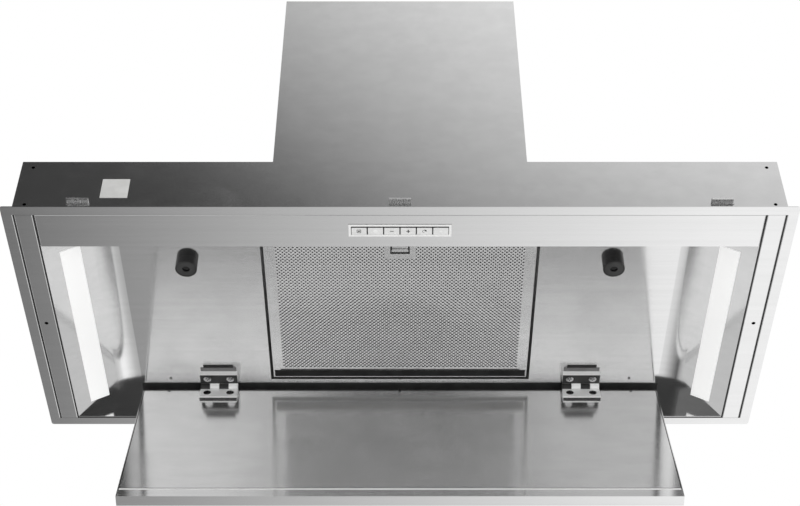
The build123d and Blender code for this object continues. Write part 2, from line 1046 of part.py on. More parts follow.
def filter_mesh():
    """Pad of wire mesh between the two sheets."""
    return filter_layer(face_high, back_low) - grip_pocket(face_high, back_low)


def filter_back():
    """Rear sheet with long slots."""
    sheet = filter_layer(back_low, back_high)
    inner_front = filter_front + filter_end_border
    inner_rear = filter_rear - filter_end_border
    inner_half = filter_half_length - filter_side_border
    pitch = 2 * inner_half / back_slots
    slot_half = (pitch - back_bar_width) / 2
    for index in range(back_slots):
        x = (index - (back_slots - 1) / 2) * pitch
        sheet -= block(x - slot_half, x + slot_half, inner_front, inner_rear, back_low, back_high)
    return sheet


def filter_latch():
    """Sliding tongue with the tab that a finger pulls back."""
    front = plenum_front + plenum_sheet + fit_gap
    tongue = block(
        -latch_half_length, latch_half_length, front, latch_rear, latch_low, latch_high
    )
    tab = block(
        -latch_half_length, latch_half_length, latch_rear - latch_tab, latch_rear, face_low, latch_low
    )
    return tongue + tab


def latch_spring():
    """Spring between the latch and the frame's lug, as its outer sleeve."""
    height = (latch_low + latch_high) / 2
    sleeve = bar_y(spring_radius, latch_rear, lug_rear - latch_lug, 0, height)
    return sleeve - bar_y(spring_bore, latch_rear, lug_rear - latch_lug, 0, height)


# Air box and motor housing
def plenum_box():
    """Four walls from the ceiling to the casing's top, with holes for the filter's pivots."""
    walls = block(-plenum_half, plenum_half, plenum_front, plenum_rear, tray_top, plenum_high)
    walls -= block(
        -plenum_half + plenum_sheet,
        plenum_half - plenum_sheet,
        plenum_front + plenum_sheet,
        plenum_rear - plenum_sheet,
        tray_top,
        plenum_high,
    )
    return walls - bar_x(
        filter_pivot_radius + running_gap,
        -plenum_half,
        plenum_half,
        filter_pivot_row,
        filter_pivot_height,
    )


def housing_screw_places():
    """Centres, as (x, y), of the screws through the housing's foot."""
    reach = housing_half + housing_foot / 2
    rows = [
        blower_row + (index - (housing_screw_rows - 1) / 2) * housing_screw_pitch
        for index in range(housing_screw_rows)
    ]
    return [(x, y) for x in (-reach, reach) for y in rows]


def motor_housing():
    """Tall box with an outward foot."""
    walls = block(
        -housing_half, housing_half, housing_front, housing_rear, casing_height, housing_top
    )
    foot = block(
        -housing_half - housing_foot,
        housing_half + housing_foot,
        housing_front - housing_foot,
        housing_rear + housing_foot,
        casing_height,
        casing_height + housing_sheet,
    )
    housing = walls + foot
    housing -= block(
        -housing_half + housing_sheet,
        housing_half - housing_sheet,
        housing_front + housing_sheet,
        housing_rear - housing_sheet,
        casing_height,
        housing_top,
    )
    foot_top = casing_height + housing_sheet
    for x, y in housing_screw_places():
        housing -= bar_z(screw_shank_radius + screw_clearance, casing_height, foot_top, x, y)
    return housing


def housing_screws():
    """Pan-head screws through the housing's foot."""
    foot_top = casing_height + housing_sheet
    screws = []
    for x, y in housing_screw_places():
        head = bar_z(housing_screw_head, foot_top, foot_top + screw_head_height, x, y)
        shank = bar_z(screw_shank_radius, plenum_high - screw_head_height, foot_top, x, y)
        screws.append(head + shank)
    return Part() + screws


def top_plate():
    """Cap inside the housing's top, with folded edges and the duct hole."""
    half = housing_half - housing_sheet
    front = housing_front + housing_sheet
    rear = housing_rear - housing_sheet
    low = housing_top - cap_flange
    cap = block(-half, half, front, rear, low, housing_top)
    cap -= block(
        -half + housing_sheet,
        half - housing_sheet,
        front + housing_sheet,
        rear - housing_sheet,
        low,
        cap_low,
    )
    return cap - bar_z(outlet_half_length - scroll_sheet, cap_low, housing_top, 0, duct_row)


# Duct collar
def duct_collar():
    """Round spigot on the top plate, with a ledge that the flaps rest on."""
    top = housing_top + collar_height
    bore = collar_radius - collar_wall
    collar = bar_z(collar_radius + collar_flange, housing_top, housing_top + collar_wall, 0, duct_row)
    collar += bar_z(collar_radius, housing_top, top, 0, duct_row)
    collar -= bar_z(bore, housing_top, top, 0, duct_row)
    ledge_top = flap_axis - flap_sheet / 2 - fit_gap
    ledge = bar_z(bore, ledge_top - ledge_height, ledge_top, 0, duct_row)
    ledge -= bar_z(bore - ledge_width, ledge_top - ledge_height, ledge_top, 0, duct_row)
    collar += ledge
    for side in (-1, 1):
        collar -= bar_x(
            flap_axle_radius + running_gap,
            -collar_radius,
            collar_radius,
            duct_row + side * flap_axle_offset,
            flap_axis,
        )
    return collar


def damper_pins():
    """The two axles of the flaps."""
    return Part() + [
        bar_x(flap_axle_radius, -collar_radius, collar_radius, duct_row + side * flap_axle_offset, flap_axis)
        for side in (-1, 1)
    ]


def damper_flap(side):
    """Half disc on its barrel; side is -1 for the front flap and 1 for the rear one."""
    radius = collar_radius - collar_wall - flap_gap
    axle_row = duct_row + side * flap_axle_offset
    plate = bar_z(radius, flap_axis - flap_sheet / 2, flap_axis + flap_sheet / 2, 0, duct_row)
    far = duct_row + side * 2 * radius
    low_row = min(axle_row, far)
    high_row = max(axle_row, far)
    plate &= block(-radius, radius, low_row, high_row, flap_axis - flap_sheet, flap_axis + flap_sheet)
    ledge_bore = collar_radius - collar_wall - ledge_width
    half = math.sqrt(ledge_bore**2 - (flap_axle_offset + flap_barrel_radius) ** 2) - flap_gap
    flap = plate + bar_x(flap_barrel_radius, -half, half, axle_row, flap_axis)
    return flap - bar_x(flap_axle_radius + running_gap, -radius, radius, axle_row, flap_axis)


# Blower
def scroll_body(radius, half_width, x0, x1, top):
    """Round case with an outlet box upwards, between two X values."""
    body = bar_x(radius, x0, x1, blower_row, blower_height)
    return body + block(x0, x1, duct_row - half_width, duct_row + half_width, blower_height, top)


def blower_scroll():
    """Right half of the scroll case."""
    half_length = scroll_length / 2
    shell = scroll_body(scroll_radius, outlet_half_length, 0, half_length, cap_low)
    shell -= scroll_body(
        scroll_radius - scroll_sheet,
        outlet_half_length - scroll_sheet,
        0,
        half_length - scroll_sheet,
        cap_low,
    )
    flange = block(
        0,
        half_length + scroll_flange,
        duct_row - outlet_half_length - scroll_flange,
        duct_row + outlet_half_length + scroll_flange,
        cap_low - scroll_sheet,
        cap_low,
    )
    flange -= block(
        0,
        half_length - scroll_sheet,
        duct_row - outlet_half_length + scroll_sheet,
        duct_row + outlet_half_length - scroll_sheet,
        cap_low - scroll_sheet,
        cap_low,
    )
    shell += flange
    return shell - bar_x(
        inlet_radius, half_length - scroll_sheet, half_length, blower_row, blower_height
    )


def impeller():
    """Double-inlet wheel on its shaft."""
    half = wheel_length / 2
    wheel = bar_x(wheel_radius, disc_offset, disc_offset + disc_thickness, blower_row, blower_height)
    for low in (-half, half - wheel_ring):
        ring = bar_x(wheel_radius, low, low + wheel_ring, blower_row, blower_height)
        wheel += ring - bar_x(wheel_bore, low, low + wheel_ring, blower_row, blower_height)
    width = wheel_radius - wheel_bore
    chord = width / math.cos(math.radians(blade_angle)) * blade_share
    middle = (wheel_radius + wheel_bore) / 2
    blade = Pos(0, middle, 0) * Rot(blade_angle, 0, 0) * Box(wheel_length, chord, blade_thickness)
    turn = 360 / blade_count
    blades = [
        Pos(0, blower_row, blower_height) * Rot(index * turn, 0, 0) * blade for index in range(blade_count)
    ]
    wheel += blades
    hub_start = disc_offset - hub_setback
    wheel += bar_x(hub_radius, hub_start, hub_start + hub_length, blower_row, blower_height)
    return wheel + bar_x(shaft_radius, hub_start, shaft_end, blower_row, blower_height)


def motor_case():
    """Round motor inside the right inlet."""
    case = bar_x(motor_radius, motor_start, motor_end, blower_row, blower_height)
    case = fillet(case.edges().filter_by(GeomType.CIRCLE), motor_round)
    return case - bar_x(shaft_radius + running_gap, motor_start, shaft_end, blower_row, blower_height)


def mount_places():
    """Centres, as (y, z), of the rubber mounts on the right side of the scroll."""
    turns = [math.radians(90 + index * 360 / mount_count) for index in range(mount_count)]
    return [
        (blower_row + mount_circle * math.cos(turn), blower_height + mount_circle * math.sin(turn))
        for turn in turns
    ]


def motor_bracket():
    """Ring round the motor with an arm to each rubber mount."""
    low = scroll_length / 2 + mount_height
    high = low + bracket_plate
    inner = motor_radius + running_gap
    bracket = bar_x(inner + bracket_ring, low, high, blower_row, blower_height)
    arm_start = motor_radius + bracket_ring / 2
    for index in range(mount_count):
        arm = block(low, high, arm_start, mount_circle + mount_radius, -bracket_arm / 2, bracket_arm / 2)
        turn = 90 + index * 360 / mount_count
        bracket += Pos(0, blower_row, blower_height) * Rot(turn, 0, 0) * arm
    return bracket - bar_x(inner, low, high, blower_row, blower_height)


def rubber_mounts():
    """Rubber blocks between the bracket's arms and the scroll."""
    low = scroll_length / 2
    return Part() + [bar_x(mount_radius, low, low + mount_height, y, z) for y, z in mount_places()]


# Electrical pieces
def control_block(inset, low, high):
    """A layer of the control box, inset from its outer walls."""
    half = control_box_length / 2 - inset
    deep = control_box_depth / 2 - inset
    x = control_box_offset
    return block(x - half, x + half, control_box_row - deep, control_box_row + deep, low, high)


def control_box():
    """Open tub on the tray's ceiling."""
    high = tray_top + control_box_height
    hollow = control_block(control_box_wall, tray_top + control_box_wall, high)
    return control_block(0, tray_top, high) - hollow


def control_lid():
    """Flat lid on the tub."""
    low = tray_top + control_box_height
    return control_block(0, low, low + control_box_wall)


def control_board():
    """Board on the tub's floor, with a transformer and a relay."""
    low = tray_top + control_box_wall
    top = low + board_thickness
    left_x = control_box_offset - component_gap / 2
    right_x = control_box_offset + component_gap / 2
    transformer = block(
        left_x - transformer_length,
        left_x,
        control_box_row - transformer_depth / 2,
        control_box_row + transformer_depth / 2,
        top,
        top + transformer_height,
    )
    relay = block(
        right_x,
        right_x + relay_length,
        control_box_row - relay_depth / 2,
        control_box_row + relay_depth / 2,
        top,
        top + relay_height,
    )
    return control_block(control_box_wall + fit_gap, low, top) + transformer + relay


def led_driver():
    """Sealed power supply on the tray's ceiling, with mounting ears."""
    half = driver_length / 2
    deep = driver_depth / 2
    x = driver_offset
    row = control_box_row
    case = block(x - half, x + half, row - deep, row + deep, tray_top, tray_top + driver_height)
    case = fillet(case.edges().filter_by(Axis.Z), driver_round)
    reach = half + driver_ear
    ear_half = driver_ear_depth / 2
    ear_high = tray_top + driver_ear_height
    return case + block(x - reach, x + reach, row - ear_half, row + ear_half, tray_top, ear_high)


def capacitor():
    """Round capacitor that stands on the casing's top, inside the motor housing."""
    row = (housing_front + plenum_front) / 2
    return bar_z(
        capacitor_radius, casing_height, casing_height + capacitor_height, capacitor_offset, row
    )


def cable_gland():
    """Gland with its nut below the casing's top and an open bore."""
    body = bar_z(gland_radius, casing_height, casing_height + gland_height, gland_offset, gland_row)
    neck_low = plenum_high - gland_nut_height
    body += bar_z(gland_neck, neck_low, casing_height, gland_offset, gland_row)
    body += bar_z(gland_radius, neck_low, plenum_high, gland_offset, gland_row)
    return body - bar_z(gland_bore, neck_low, casing_height + gland_height, gland_offset, gland_row)


button_names = ["power", "light", "minus", "plus", "timer", "filter"]

parts = {
    "outer_casing": outer_casing(),
    "rim_frame": rim_frame(),
    "inner_tray": inner_tray(),
    "control_strip": control_strip(),
    "side_strip_right": side_strip(),
    "side_strip_left": left_of(side_strip()),
    "mounting_clips": mounting_clips(),
    "rating_plate": rating_plate(),
    "keypad_bezel": keypad_bezel(),
    "keypad_board": keypad_board(),
    "tact_switches": tact_switches(),
    "led_diffuser_right": led_diffuser(),
    "led_diffuser_left": left_of(led_diffuser()),
    "led_boards": both_sides(led_board()),
    "led_housings": both_sides(led_housing()),
    "catch_posts": both_sides(catch_post()),
    "pot_magnets": both_sides(pot_magnet()),
    "ceiling_screws": ceiling_screws(),
    "hinge_fixed_leaves": Part() + [fixed_leaf(x) for x in hinge_centres],
    "hinge_ceiling_spacers": Part() + [ceiling_spacer(x) for x in hinge_centres],
    "hinge_pins": Part() + [hinge_pin(x) for x in hinge_centres],
    "hinge_moving_leaves": open_panel(Part() + [moving_leaf(x) for x in hinge_centres]),
    "hinge_panel_spacers": open_panel(Part() + [panel_spacer(x) for x in hinge_centres]),
    "panel_outer_skin": open_panel(panel_outer_skin()),
    "panel_inner_skin": open_panel(panel_inner_skin()),
    "panel_core": open_panel(panel_core()),
    "panel_screws": open_panel(panel_screws()),
    "panel_rivets": open_panel(panel_rivets()),
    "filter_frame": filter_frame(),
    "filter_face": filter_face(),
    "filter_mesh": filter_mesh(),
    "filter_back": filter_back(),
    "filter_latch": filter_latch(),
    "latch_spring": latch_spring(),
    "plenum_box": plenum_box(),
    "motor_housing": motor_housing(),
    "housing_screws": housing_screws(),
    "top_plate": top_plate(),
    "duct_collar": duct_collar(),
    "damper_pins": damper_pins(),
    "damper_flap_front": damper_flap(-1),
    "damper_flap_rear": damper_flap(1),
    "blower_scroll_right": blower_scroll(),
    "blower_scroll_left": left_of(blower_scroll()),
    "impeller": impeller(),
    "motor_case": motor_case(),
    "motor_bracket": motor_bracket(),
    "rubber_mounts": rubber_mounts(),
    "control_box": control_box(),
    "control_lid": control_lid(),
    "control_board": control_board(),
    "led_driver": led_driver(),
    "capacitor": capacitor(),
    "cable_gland": cable_gland(),
}
for index, name in enumerate(button_names):
    parts["button_" + name] = button(index)

for node, shape in parts.items():
    export_step(shape, f"parts/{node}.step")
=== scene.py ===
# %% [markdown]
# # A concealed range hood, seen from below
#
# The hood hangs inside a wall cabinet, and only its underside shows in a kitchen. It is nearly all
# sheet steel, and bare steel has almost no colour of its own: it looks like whatever it mirrors.
# So this lesson spends most of its care on three things. They are the brushed skin of the sheets,
# the surroundings that the sheets reflect, and the fine perforated face of the grease filter.
#
# The sheets, hinges, screws and buttons arrive as finished parts at their real size. Here they get
# their finishes, and the few pieces that repeat thousands of times are made with Geometry Nodes.

# %% Load the finished parts
import math

import bpy
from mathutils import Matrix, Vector


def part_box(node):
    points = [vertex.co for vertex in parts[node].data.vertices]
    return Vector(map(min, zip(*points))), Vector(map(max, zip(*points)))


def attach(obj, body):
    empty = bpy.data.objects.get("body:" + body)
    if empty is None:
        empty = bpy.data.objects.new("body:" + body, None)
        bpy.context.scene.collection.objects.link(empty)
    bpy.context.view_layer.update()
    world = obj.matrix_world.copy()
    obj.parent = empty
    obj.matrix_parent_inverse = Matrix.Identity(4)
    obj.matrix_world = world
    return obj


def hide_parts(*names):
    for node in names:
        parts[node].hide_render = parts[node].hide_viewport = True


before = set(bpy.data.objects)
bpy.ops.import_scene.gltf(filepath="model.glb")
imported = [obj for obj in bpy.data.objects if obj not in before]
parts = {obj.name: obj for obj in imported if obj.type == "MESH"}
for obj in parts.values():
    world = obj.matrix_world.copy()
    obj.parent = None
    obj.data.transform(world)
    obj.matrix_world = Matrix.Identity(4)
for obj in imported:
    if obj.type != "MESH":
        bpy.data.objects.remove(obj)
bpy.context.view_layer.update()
MM = 0.001
scene = bpy.context.scene

# %% [markdown]
# ## The camera
#
# The photograph looks up at the underside from in front, so that the bottom rim, the front face and
# the motor housing all show at once. The camera is set up from four real values: the focal length,
# the upward tilt, and how far it stands in front of and below the rim. A long lens keeps the sides
# of the housing nearly parallel, and no lens shift is needed.

# %% Camera
CAMERA_LENS = 71.43
CAMERA_TILT = 45.116
CAMERA_IN_FRONT = 1.3502
CAMERA_BELOW = 1.2409

camera_data = bpy.data.cameras.new("kitchen_view")
camera_data.lens = CAMERA_LENS
camera_data.sensor_width = 36.0
camera_data.clip_start = 0.02
camera = bpy.data.objects.new("kitchen_view", camera_data)
camera.location = (0.0, -CAMERA_IN_FRONT, -CAMERA_BELOW)
camera.rotation_euler = (math.radians(90.0 + CAMERA_TILT), 0.0, 0.0)
scene.collection.objects.link(camera)
scene.camera = camera
scene.view_settings.view_transform = "Standard"
print("camera", CAMERA_LENS, "mm, tilted up", CAMERA_TILT, "degrees")

# %% [markdown]
# ## Small helpers for node trees
#
# Every finish below is a node tree. Two helpers keep those trees short: one adds a node with its
# settings, and one links an output to an input. A third starts a material with its Principled BSDF.


# %% Node helpers
def add(tree, kind, **settings):
    """Adds a node of that kind and sets the named properties."""
    node = tree.nodes.new(kind)
    for name, value in settings.items():
        setattr(node, name, value)
    return node


def link(tree, source, target):
    """Feeds an output socket into an input socket."""
    tree.links.new(source, target)
    return target


def maths(tree, operation, first, second=None, clamp=False):
    """A Math node. Each value is an output socket or a plain number."""
    node = add(tree, "ShaderNodeMath", operation=operation, use_clamp=clamp)
    for slot, value in zip(node.inputs, (first, second)):
        if isinstance(value, bpy.types.NodeSocket):
            link(tree, value, slot)
        elif value is not None:
            slot.default_value = value
    return node.outputs[0]


def ramp(tree, value, low, high, out_low=0.0, out_high=1.0, smooth=True):
    """Maps a value's range to another one, held at both ends."""
    node = add(tree, "ShaderNodeMapRange")
    node.interpolation_type = "SMOOTHSTEP" if smooth else "LINEAR"
    node.clamp = True
    link(tree, value, node.inputs["Value"])
    node.inputs["From Min"].default_value = low
    node.inputs["From Max"].default_value = high
    node.inputs["To Min"].default_value = out_low
    node.inputs["To Max"].default_value = out_high
    return node.outputs["Result"]


def blend_values(tree, share, first, second):
    """Goes from the first value to the second as the share goes from 0 to 1."""
    node = add(tree, "ShaderNodeMix", data_type="FLOAT")
    for slot, value in zip((node.inputs[0], node.inputs[2], node.inputs[3]), (share, first, second)):
        if isinstance(value, bpy.types.NodeSocket):
            link(tree, value, slot)
        else:
            slot.default_value = value
    return node.outputs[0]


def blend_colours(tree, share, first, second):
    """Goes from the first colour to the second as the share goes from 0 to 1."""
    node = add(tree, "ShaderNodeMix", data_type="RGBA")
    for slot, value in zip((node.inputs[0], node.inputs[6], node.inputs[7]), (share, first, second)):
        if isinstance(value, bpy.types.NodeSocket):
            link(tree, value, slot)
        else:
            slot.default_value = (*value, 1.0) if isinstance(value, tuple) else value
    return node.outputs[2]


def start_material(name):
    """A material with its Principled BSDF linked to the output."""
    material = bpy.data.materials.new(name)
    material.use_nodes = True
    tree = material.node_tree
    return material, tree, tree.nodes["Principled BSDF"]


def grey(level):
    """A neutral colour."""
    return (level, level, level)


# %% [markdown]
# ## What the steel sees
#
# A flat steel sheet shows one small part of the room, so a bright patch on the sheet is a lamp and a
# dark patch is an unlit corner. In the photograph every sheet runs from dark on the left to nearly
# white on the right, and the back wall of the recess is almost black, because it mirrors the unlit
# place where the camera stands.
#
# A ring of cards and lamps could do this, and they would show up in other views. It is simpler and
# steadier to paint the room on the world background, by direction. The camera itself sees plain
# white, as do rays through clear parts. Mirrored rays see the painted room. Scattered light gets one
# even level, so that matt parts render about as their colour is written.
#
# The room has a rear half, which brightens to the right, and a front half in layers. From the top
# these are a sloping bright field, a middle grey, a bright band just over the horizon, an unlit corner
# below it, and a lit floor with one dark aisle straight below the hood. The levels were set against the
# photograph, so they suit this view, and other views have nothing to be checked against.

# %% Room for reflections
ROOM_MIDDLE = 0.64
ROOM_TO_RIGHT = 1.85
ROOM_WHITE = 1.02
ROOM_BLACK = 0.05
ROOM_CORNERS = 0.6
HIGH_FRONT_MIDDLE = 0.33
HIGH_FRONT_TO_RIGHT = 2.3
HIGH_FRONT_UPWARDS = 5.5
HIGH_FRONT_HEIGHT = 0.738
LOW_FRONT = 0.95
MIDDLE_FRONT = 0.5
UNDERNEATH = 0.73
UNDERNEATH_TO_RIGHT = -0.6
AISLE_DARK = 0.06
SCATTERED_LIGHT = 0.75
UNLIT_CORNER_EDGE = 0.2
HIGH_FRONT_DIM_EASE = 0.2
HIGH_FRONT_BRIGHT_LIMIT = 1.0
HIGH_FRONT_BRIGHT_EASE = 0.3
# Where each part of the room fades in, as a direction's share along one axis
CORNERS_SIDEWAYS = (0.28, 0.38)
CORNERS_DOWNWARDS = (-0.2, -0.4)
UNLIT_CORNER_SIDEWAYS = (-0.45, -0.3)
HORIZON = (-0.190, -0.164)
FLOOR_STARTS = (-0.73, -0.82)
AISLE_SIDES = (0.072, 0.054)
AISLE_NEAR_END = (-0.1, -0.14)
AISLE_FAR_END = (-0.46, -0.4)
MIDDLE_STARTS = (0.05, 0.2)
HIGH_STARTS = (0.45, 0.62)
REAR_STARTS = (-0.1, 0.12)

world = bpy.data.worlds.new("studio")
scene.world = world
world.use_nodes = True
sky = world.node_tree
sky.nodes.clear()
direction = add(sky, "ShaderNodeTexCoord").outputs["Generated"]
axes = add(sky, "ShaderNodeSeparateXYZ")
link(sky, direction, axes.inputs[0])
to_right, to_back, upwards = axes.outputs


def plus_times(value, factor, constant):
    """The value times a factor, plus a constant or another value."""
    node = maths(sky, "MULTIPLY_ADD", value, factor).node
    if isinstance(constant, bpy.types.NodeSocket):
        link(sky, constant, node.inputs[2])
    else:
        node.inputs[2].default_value = constant
    return node.outputs[0]


def smooth_limit(operation, value, limit, softness):
    """A lower or upper limit that the value eases into."""
    node = maths(sky, operation, value, limit).node
    node.inputs[2].default_value = softness
    return node.outputs[0]


rear = plus_times(to_right, ROOM_TO_RIGHT, ROOM_MIDDLE)
rear = ramp(sky, rear, ROOM_BLACK, ROOM_WHITE, ROOM_BLACK, ROOM_WHITE, smooth=False)
beside = maths(sky, "ABSOLUTE", to_right)
sideways = ramp(sky, beside, *CORNERS_SIDEWAYS)
rear_corners = maths(sky, "MULTIPLY", sideways, ramp(sky, upwards, *CORNERS_DOWNWARDS))
rear = blend_values(sky, rear_corners, rear, ROOM_CORNERS)

high_front_base = HIGH_FRONT_MIDDLE - HIGH_FRONT_UPWARDS * HIGH_FRONT_HEIGHT
high_front = plus_times(upwards, HIGH_FRONT_UPWARDS, high_front_base)
high_front = plus_times(to_right, HIGH_FRONT_TO_RIGHT, high_front)
high_front = smooth_limit("SMOOTH_MAX", high_front, ROOM_BLACK, HIGH_FRONT_DIM_EASE)
high_front = smooth_limit("SMOOTH_MIN", high_front, HIGH_FRONT_BRIGHT_LIMIT, HIGH_FRONT_BRIGHT_EASE)

unlit_corner = ramp(sky, to_right, *UNLIT_CORNER_SIDEWAYS, UNLIT_CORNER_EDGE, ROOM_BLACK)
over_horizon = ramp(sky, upwards, *HORIZON)
underneath = ramp(sky, upwards, *FLOOR_STARTS)
low_front = blend_values(sky, over_horizon, unlit_corner, LOW_FRONT)
lit_floor = plus_times(to_right, UNDERNEATH_TO_RIGHT, UNDERNEATH)
aisle = maths(sky, "MULTIPLY", ramp(sky, beside, *AISLE_SIDES), ramp(sky, to_back, *AISLE_NEAR_END))
aisle = maths(sky, "MULTIPLY", aisle, ramp(sky, to_back, *AISLE_FAR_END))
lit_floor = blend_values(sky, aisle, lit_floor, AISLE_DARK)
low_front = blend_values(sky, underneath, low_front, lit_floor)

middle_front = blend_values(sky, ramp(sky, upwards, *MIDDLE_STARTS), low_front, MIDDLE_FRONT)
front = blend_values(sky, ramp(sky, upwards, *HIGH_STARTS), middle_front, high_front)
room = blend_values(sky, ramp(sky, to_back, *REAR_STARTS), front, rear)

ray = add(sky, "ShaderNodeLightPath").outputs
plain_white = maths(sky, "MAXIMUM", ray["Is Camera Ray"], ray["Is Transmission Ray"])
level = blend_values(sky, ray["Is Glossy Ray"], SCATTERED_LIGHT, room)
level = blend_values(sky, plain_white, level, 1.0)
background = add(sky, "ShaderNodeBackground")
background.inputs["Color"].default_value = (1.0, 1.0, 1.0, 1.0)
link(sky, level, background.inputs["Strength"])
link(sky, background.outputs[0], add(sky, "ShaderNodeOutputWorld").inputs["Surface"])
print("room painted on the world, from", ROOM_BLACK, "to", ROOM_WHITE)

# %% [markdown]
# ## Floor and lamps
#
# A hood hangs about a metre and a half over the kitchen floor, and the camera looks up from between
# the two. The floor is one plain pale sheet that fades to white far away, so that no horizon shows.
# Seen from underneath it lets the view through. Two wide soft lamps give the matt parts their shape.
# The steel doesn't mirror them, because the room above already holds all that it should reflect.

# %% Floor
FLOOR_DEPTH = 1.55
FLOOR_HALF = 9.0
FLOOR_FADE_START = 2.5
FLOOR_FADE_END = 8.0

floor_mesh = bpy.data.meshes.new("floor")
floor_turns = ((-1, -1), (1, -1), (1, 1), (-1, 1))
floor_corners = [(x * FLOOR_HALF, y * FLOOR_HALF, -FLOOR_DEPTH) for x, y in floor_turns]
floor_mesh.from_pydata(floor_corners, [], [(0, 1, 2, 3)])
floor = bpy.data.objects.new("floor", floor_mesh)
scene.collection.objects.link(floor)
floor.visible_glossy = False

floor_paint, tree, skin = start_material("pale_floor")
place = add(tree, "ShaderNodeTexCoord").outputs["Object"]
reach = add(tree, "ShaderNodeVectorMath", operation="LENGTH")
link(tree, place, reach.inputs[0])
fade = ramp(tree, reach.outputs["Value"], FLOOR_FADE_START, FLOOR_FADE_END)
skin.inputs["Base Color"].default_value = (0.86, 0.86, 0.85, 1.0)
skin.inputs["Roughness"].default_value = 0.7
skin.inputs["Specular IOR Level"].default_value = 0.2
white = add(tree, "ShaderNodeEmission")
far = add(tree, "ShaderNodeMixShader")
link(tree, fade, far.inputs[0])
link(tree, skin.outputs[0], far.inputs[1])
link(tree, white.outputs[0], far.inputs[2])
under = add(tree, "ShaderNodeMixShader")
link(tree, add(tree, "ShaderNodeNewGeometry").outputs["Backfacing"], under.inputs[0])
link(tree, far.outputs[0], under.inputs[1])
link(tree, add(tree, "ShaderNodeBsdfTransparent").outputs[0], under.inputs[2])
link(tree, under.outputs[0], tree.nodes["Material Output"].inputs["Surface"])
floor_mesh.materials.append(floor_paint)
print("floor", FLOOR_DEPTH, "m below the rim")


# %% Lamps
def soft_lamp(name, place, aim, size, power):
    """A square softbox at a place, turned to face the aim."""
    data = bpy.data.lights.new(name, "AREA")
    data.shape = "SQUARE"
    data.size = size
    data.energy = power
    lamp = bpy.data.objects.new(name, data)
    lamp.location = place
    lamp.rotation_euler = (Vector(aim) - Vector(place)).to_track_quat("-Z", "Y").to_euler()
    lamp.visible_glossy = False
    scene.collection.objects.link(lamp)
    return lamp


soft_lamp("lamp_below_right", (1.4, -1.2, -1.2), (0.0, 0.0, 0.0), 1.2, 14.0)
soft_lamp("lamp_above", (0.9, -0.8, 2.0), (0.0, 0.0, 0.2), 1.6, 26.0)

# %% [markdown]
# ## Shared surface effects
#
# Several finishes need the same three effects, so each effect is a node group with its own inputs.
# *Brushed grain* draws long fine scratches by stretching a noise along one axis. *Handling marks* are
# the broad soft patches that cleaning and fingers leave. *Moulded skin* is the faint orange peel of
# plastic and paint. A group hands out only values that change over the surface, and the Principled
# BSDF stays in each material.


# %% Shader groups
def new_group(name, inputs, outputs):
    """A shader node group with named inputs (name, kind, value) and outputs (name, kind)."""
    group = bpy.data.node_groups.new(name, "ShaderNodeTree")
    for label, kind, value in inputs:
        socket = group.interface.new_socket(label, in_out="INPUT", socket_type=kind)
        socket.default_value = value
    for label, kind in outputs:
        group.interface.new_socket(label, in_out="OUTPUT", socket_type=kind)
    return group, add(group, "NodeGroupInput").outputs, add(group, "NodeGroupOutput").inputs


def brushed_grain_group():
    """Scratches: noise stretched by its scale along each axis, in scratches per metre."""
    group, given, result = new_group(
        "brushed_grain",
        [
            ("Place", "NodeSocketVector", (0.0, 0.0, 0.0)),
            ("Density", "NodeSocketVector", (20.0, 2500.0, 2500.0)),
        ],
        [("Scratch", "NodeSocketFloat"), ("Band", "NodeSocketFloat")],
    )
    stretched = add(group, "ShaderNodeVectorMath", operation="MULTIPLY")
    link(group, given["Place"], stretched.inputs[0])
    link(group, given["Density"], stretched.inputs[1])
    fine = add(group, "ShaderNodeTexNoise")
    fine.inputs["Scale"].default_value = 1.0
    fine.inputs["Detail"].default_value = 5.0
    fine.inputs["Roughness"].default_value = 0.65
    link(group, stretched.outputs[0], fine.inputs["Vector"])
    link(group, fine.outputs["Fac"], result["Scratch"])
    coarse = add(group, "ShaderNodeTexNoise")
    coarse.inputs["Scale"].default_value = 0.06
    coarse.inputs["Detail"].default_value = 3.0
    link(group, stretched.outputs[0], coarse.inputs["Vector"])
    link(group, coarse.outputs["Fac"], result["Band"])
    return group


def handling_marks_group():
    """Broad soft patches, from 0 on clean metal to 1 in the middle of a smear."""
    group, given, result = new_group(
        "handling_marks",
        [("Place", "NodeSocketVector", (0.0, 0.0, 0.0)), ("Patches per metre", "NodeSocketFloat", 14.0)],
        [("Smear", "NodeSocketFloat")],
    )
    patches = add(group, "ShaderNodeTexNoise")
    patches.inputs["Detail"].default_value = 4.0
    patches.inputs["Roughness"].default_value = 0.55
    patches.inputs["Distortion"].default_value = 0.8
    link(group, given["Place"], patches.inputs["Vector"])
    link(group, given["Patches per metre"], patches.inputs["Scale"])
    link(group, ramp(group, patches.outputs["Fac"], 0.45, 0.75), result["Smear"])
    return group


def moulded_skin_group():
    """A faint orange peel with a little mottling."""
    group, given, result = new_group(
        "moulded_skin",
        [("Place", "NodeSocketVector", (0.0, 0.0, 0.0)), ("Bumps per metre", "NodeSocketFloat", 900.0)],
        [("Height", "NodeSocketFloat"), ("Mottle", "NodeSocketFloat")],
    )
    peel = add(group, "ShaderNodeTexNoise")
    peel.inputs["Detail"].default_value = 3.0
    link(group, given["Place"], peel.inputs["Vector"])
    link(group, given["Bumps per metre"], peel.inputs["Scale"])
    link(group, peel.outputs["Fac"], result["Height"])
    mottle = add(group, "ShaderNodeTexNoise")
    mottle.inputs["Scale"].default_value = 60.0
    mottle.inputs["Detail"].default_value = 3.0
    link(group, given["Place"], mottle.inputs["Vector"])
    link(group, mottle.outputs["Fac"], result["Mottle"])
    return group


brushed_grain = brushed_grain_group()
handling_marks = handling_marks_group()
moulded_skin = moulded_skin_group()
print("shader groups:", [g.name for g in bpy.data.node_groups])


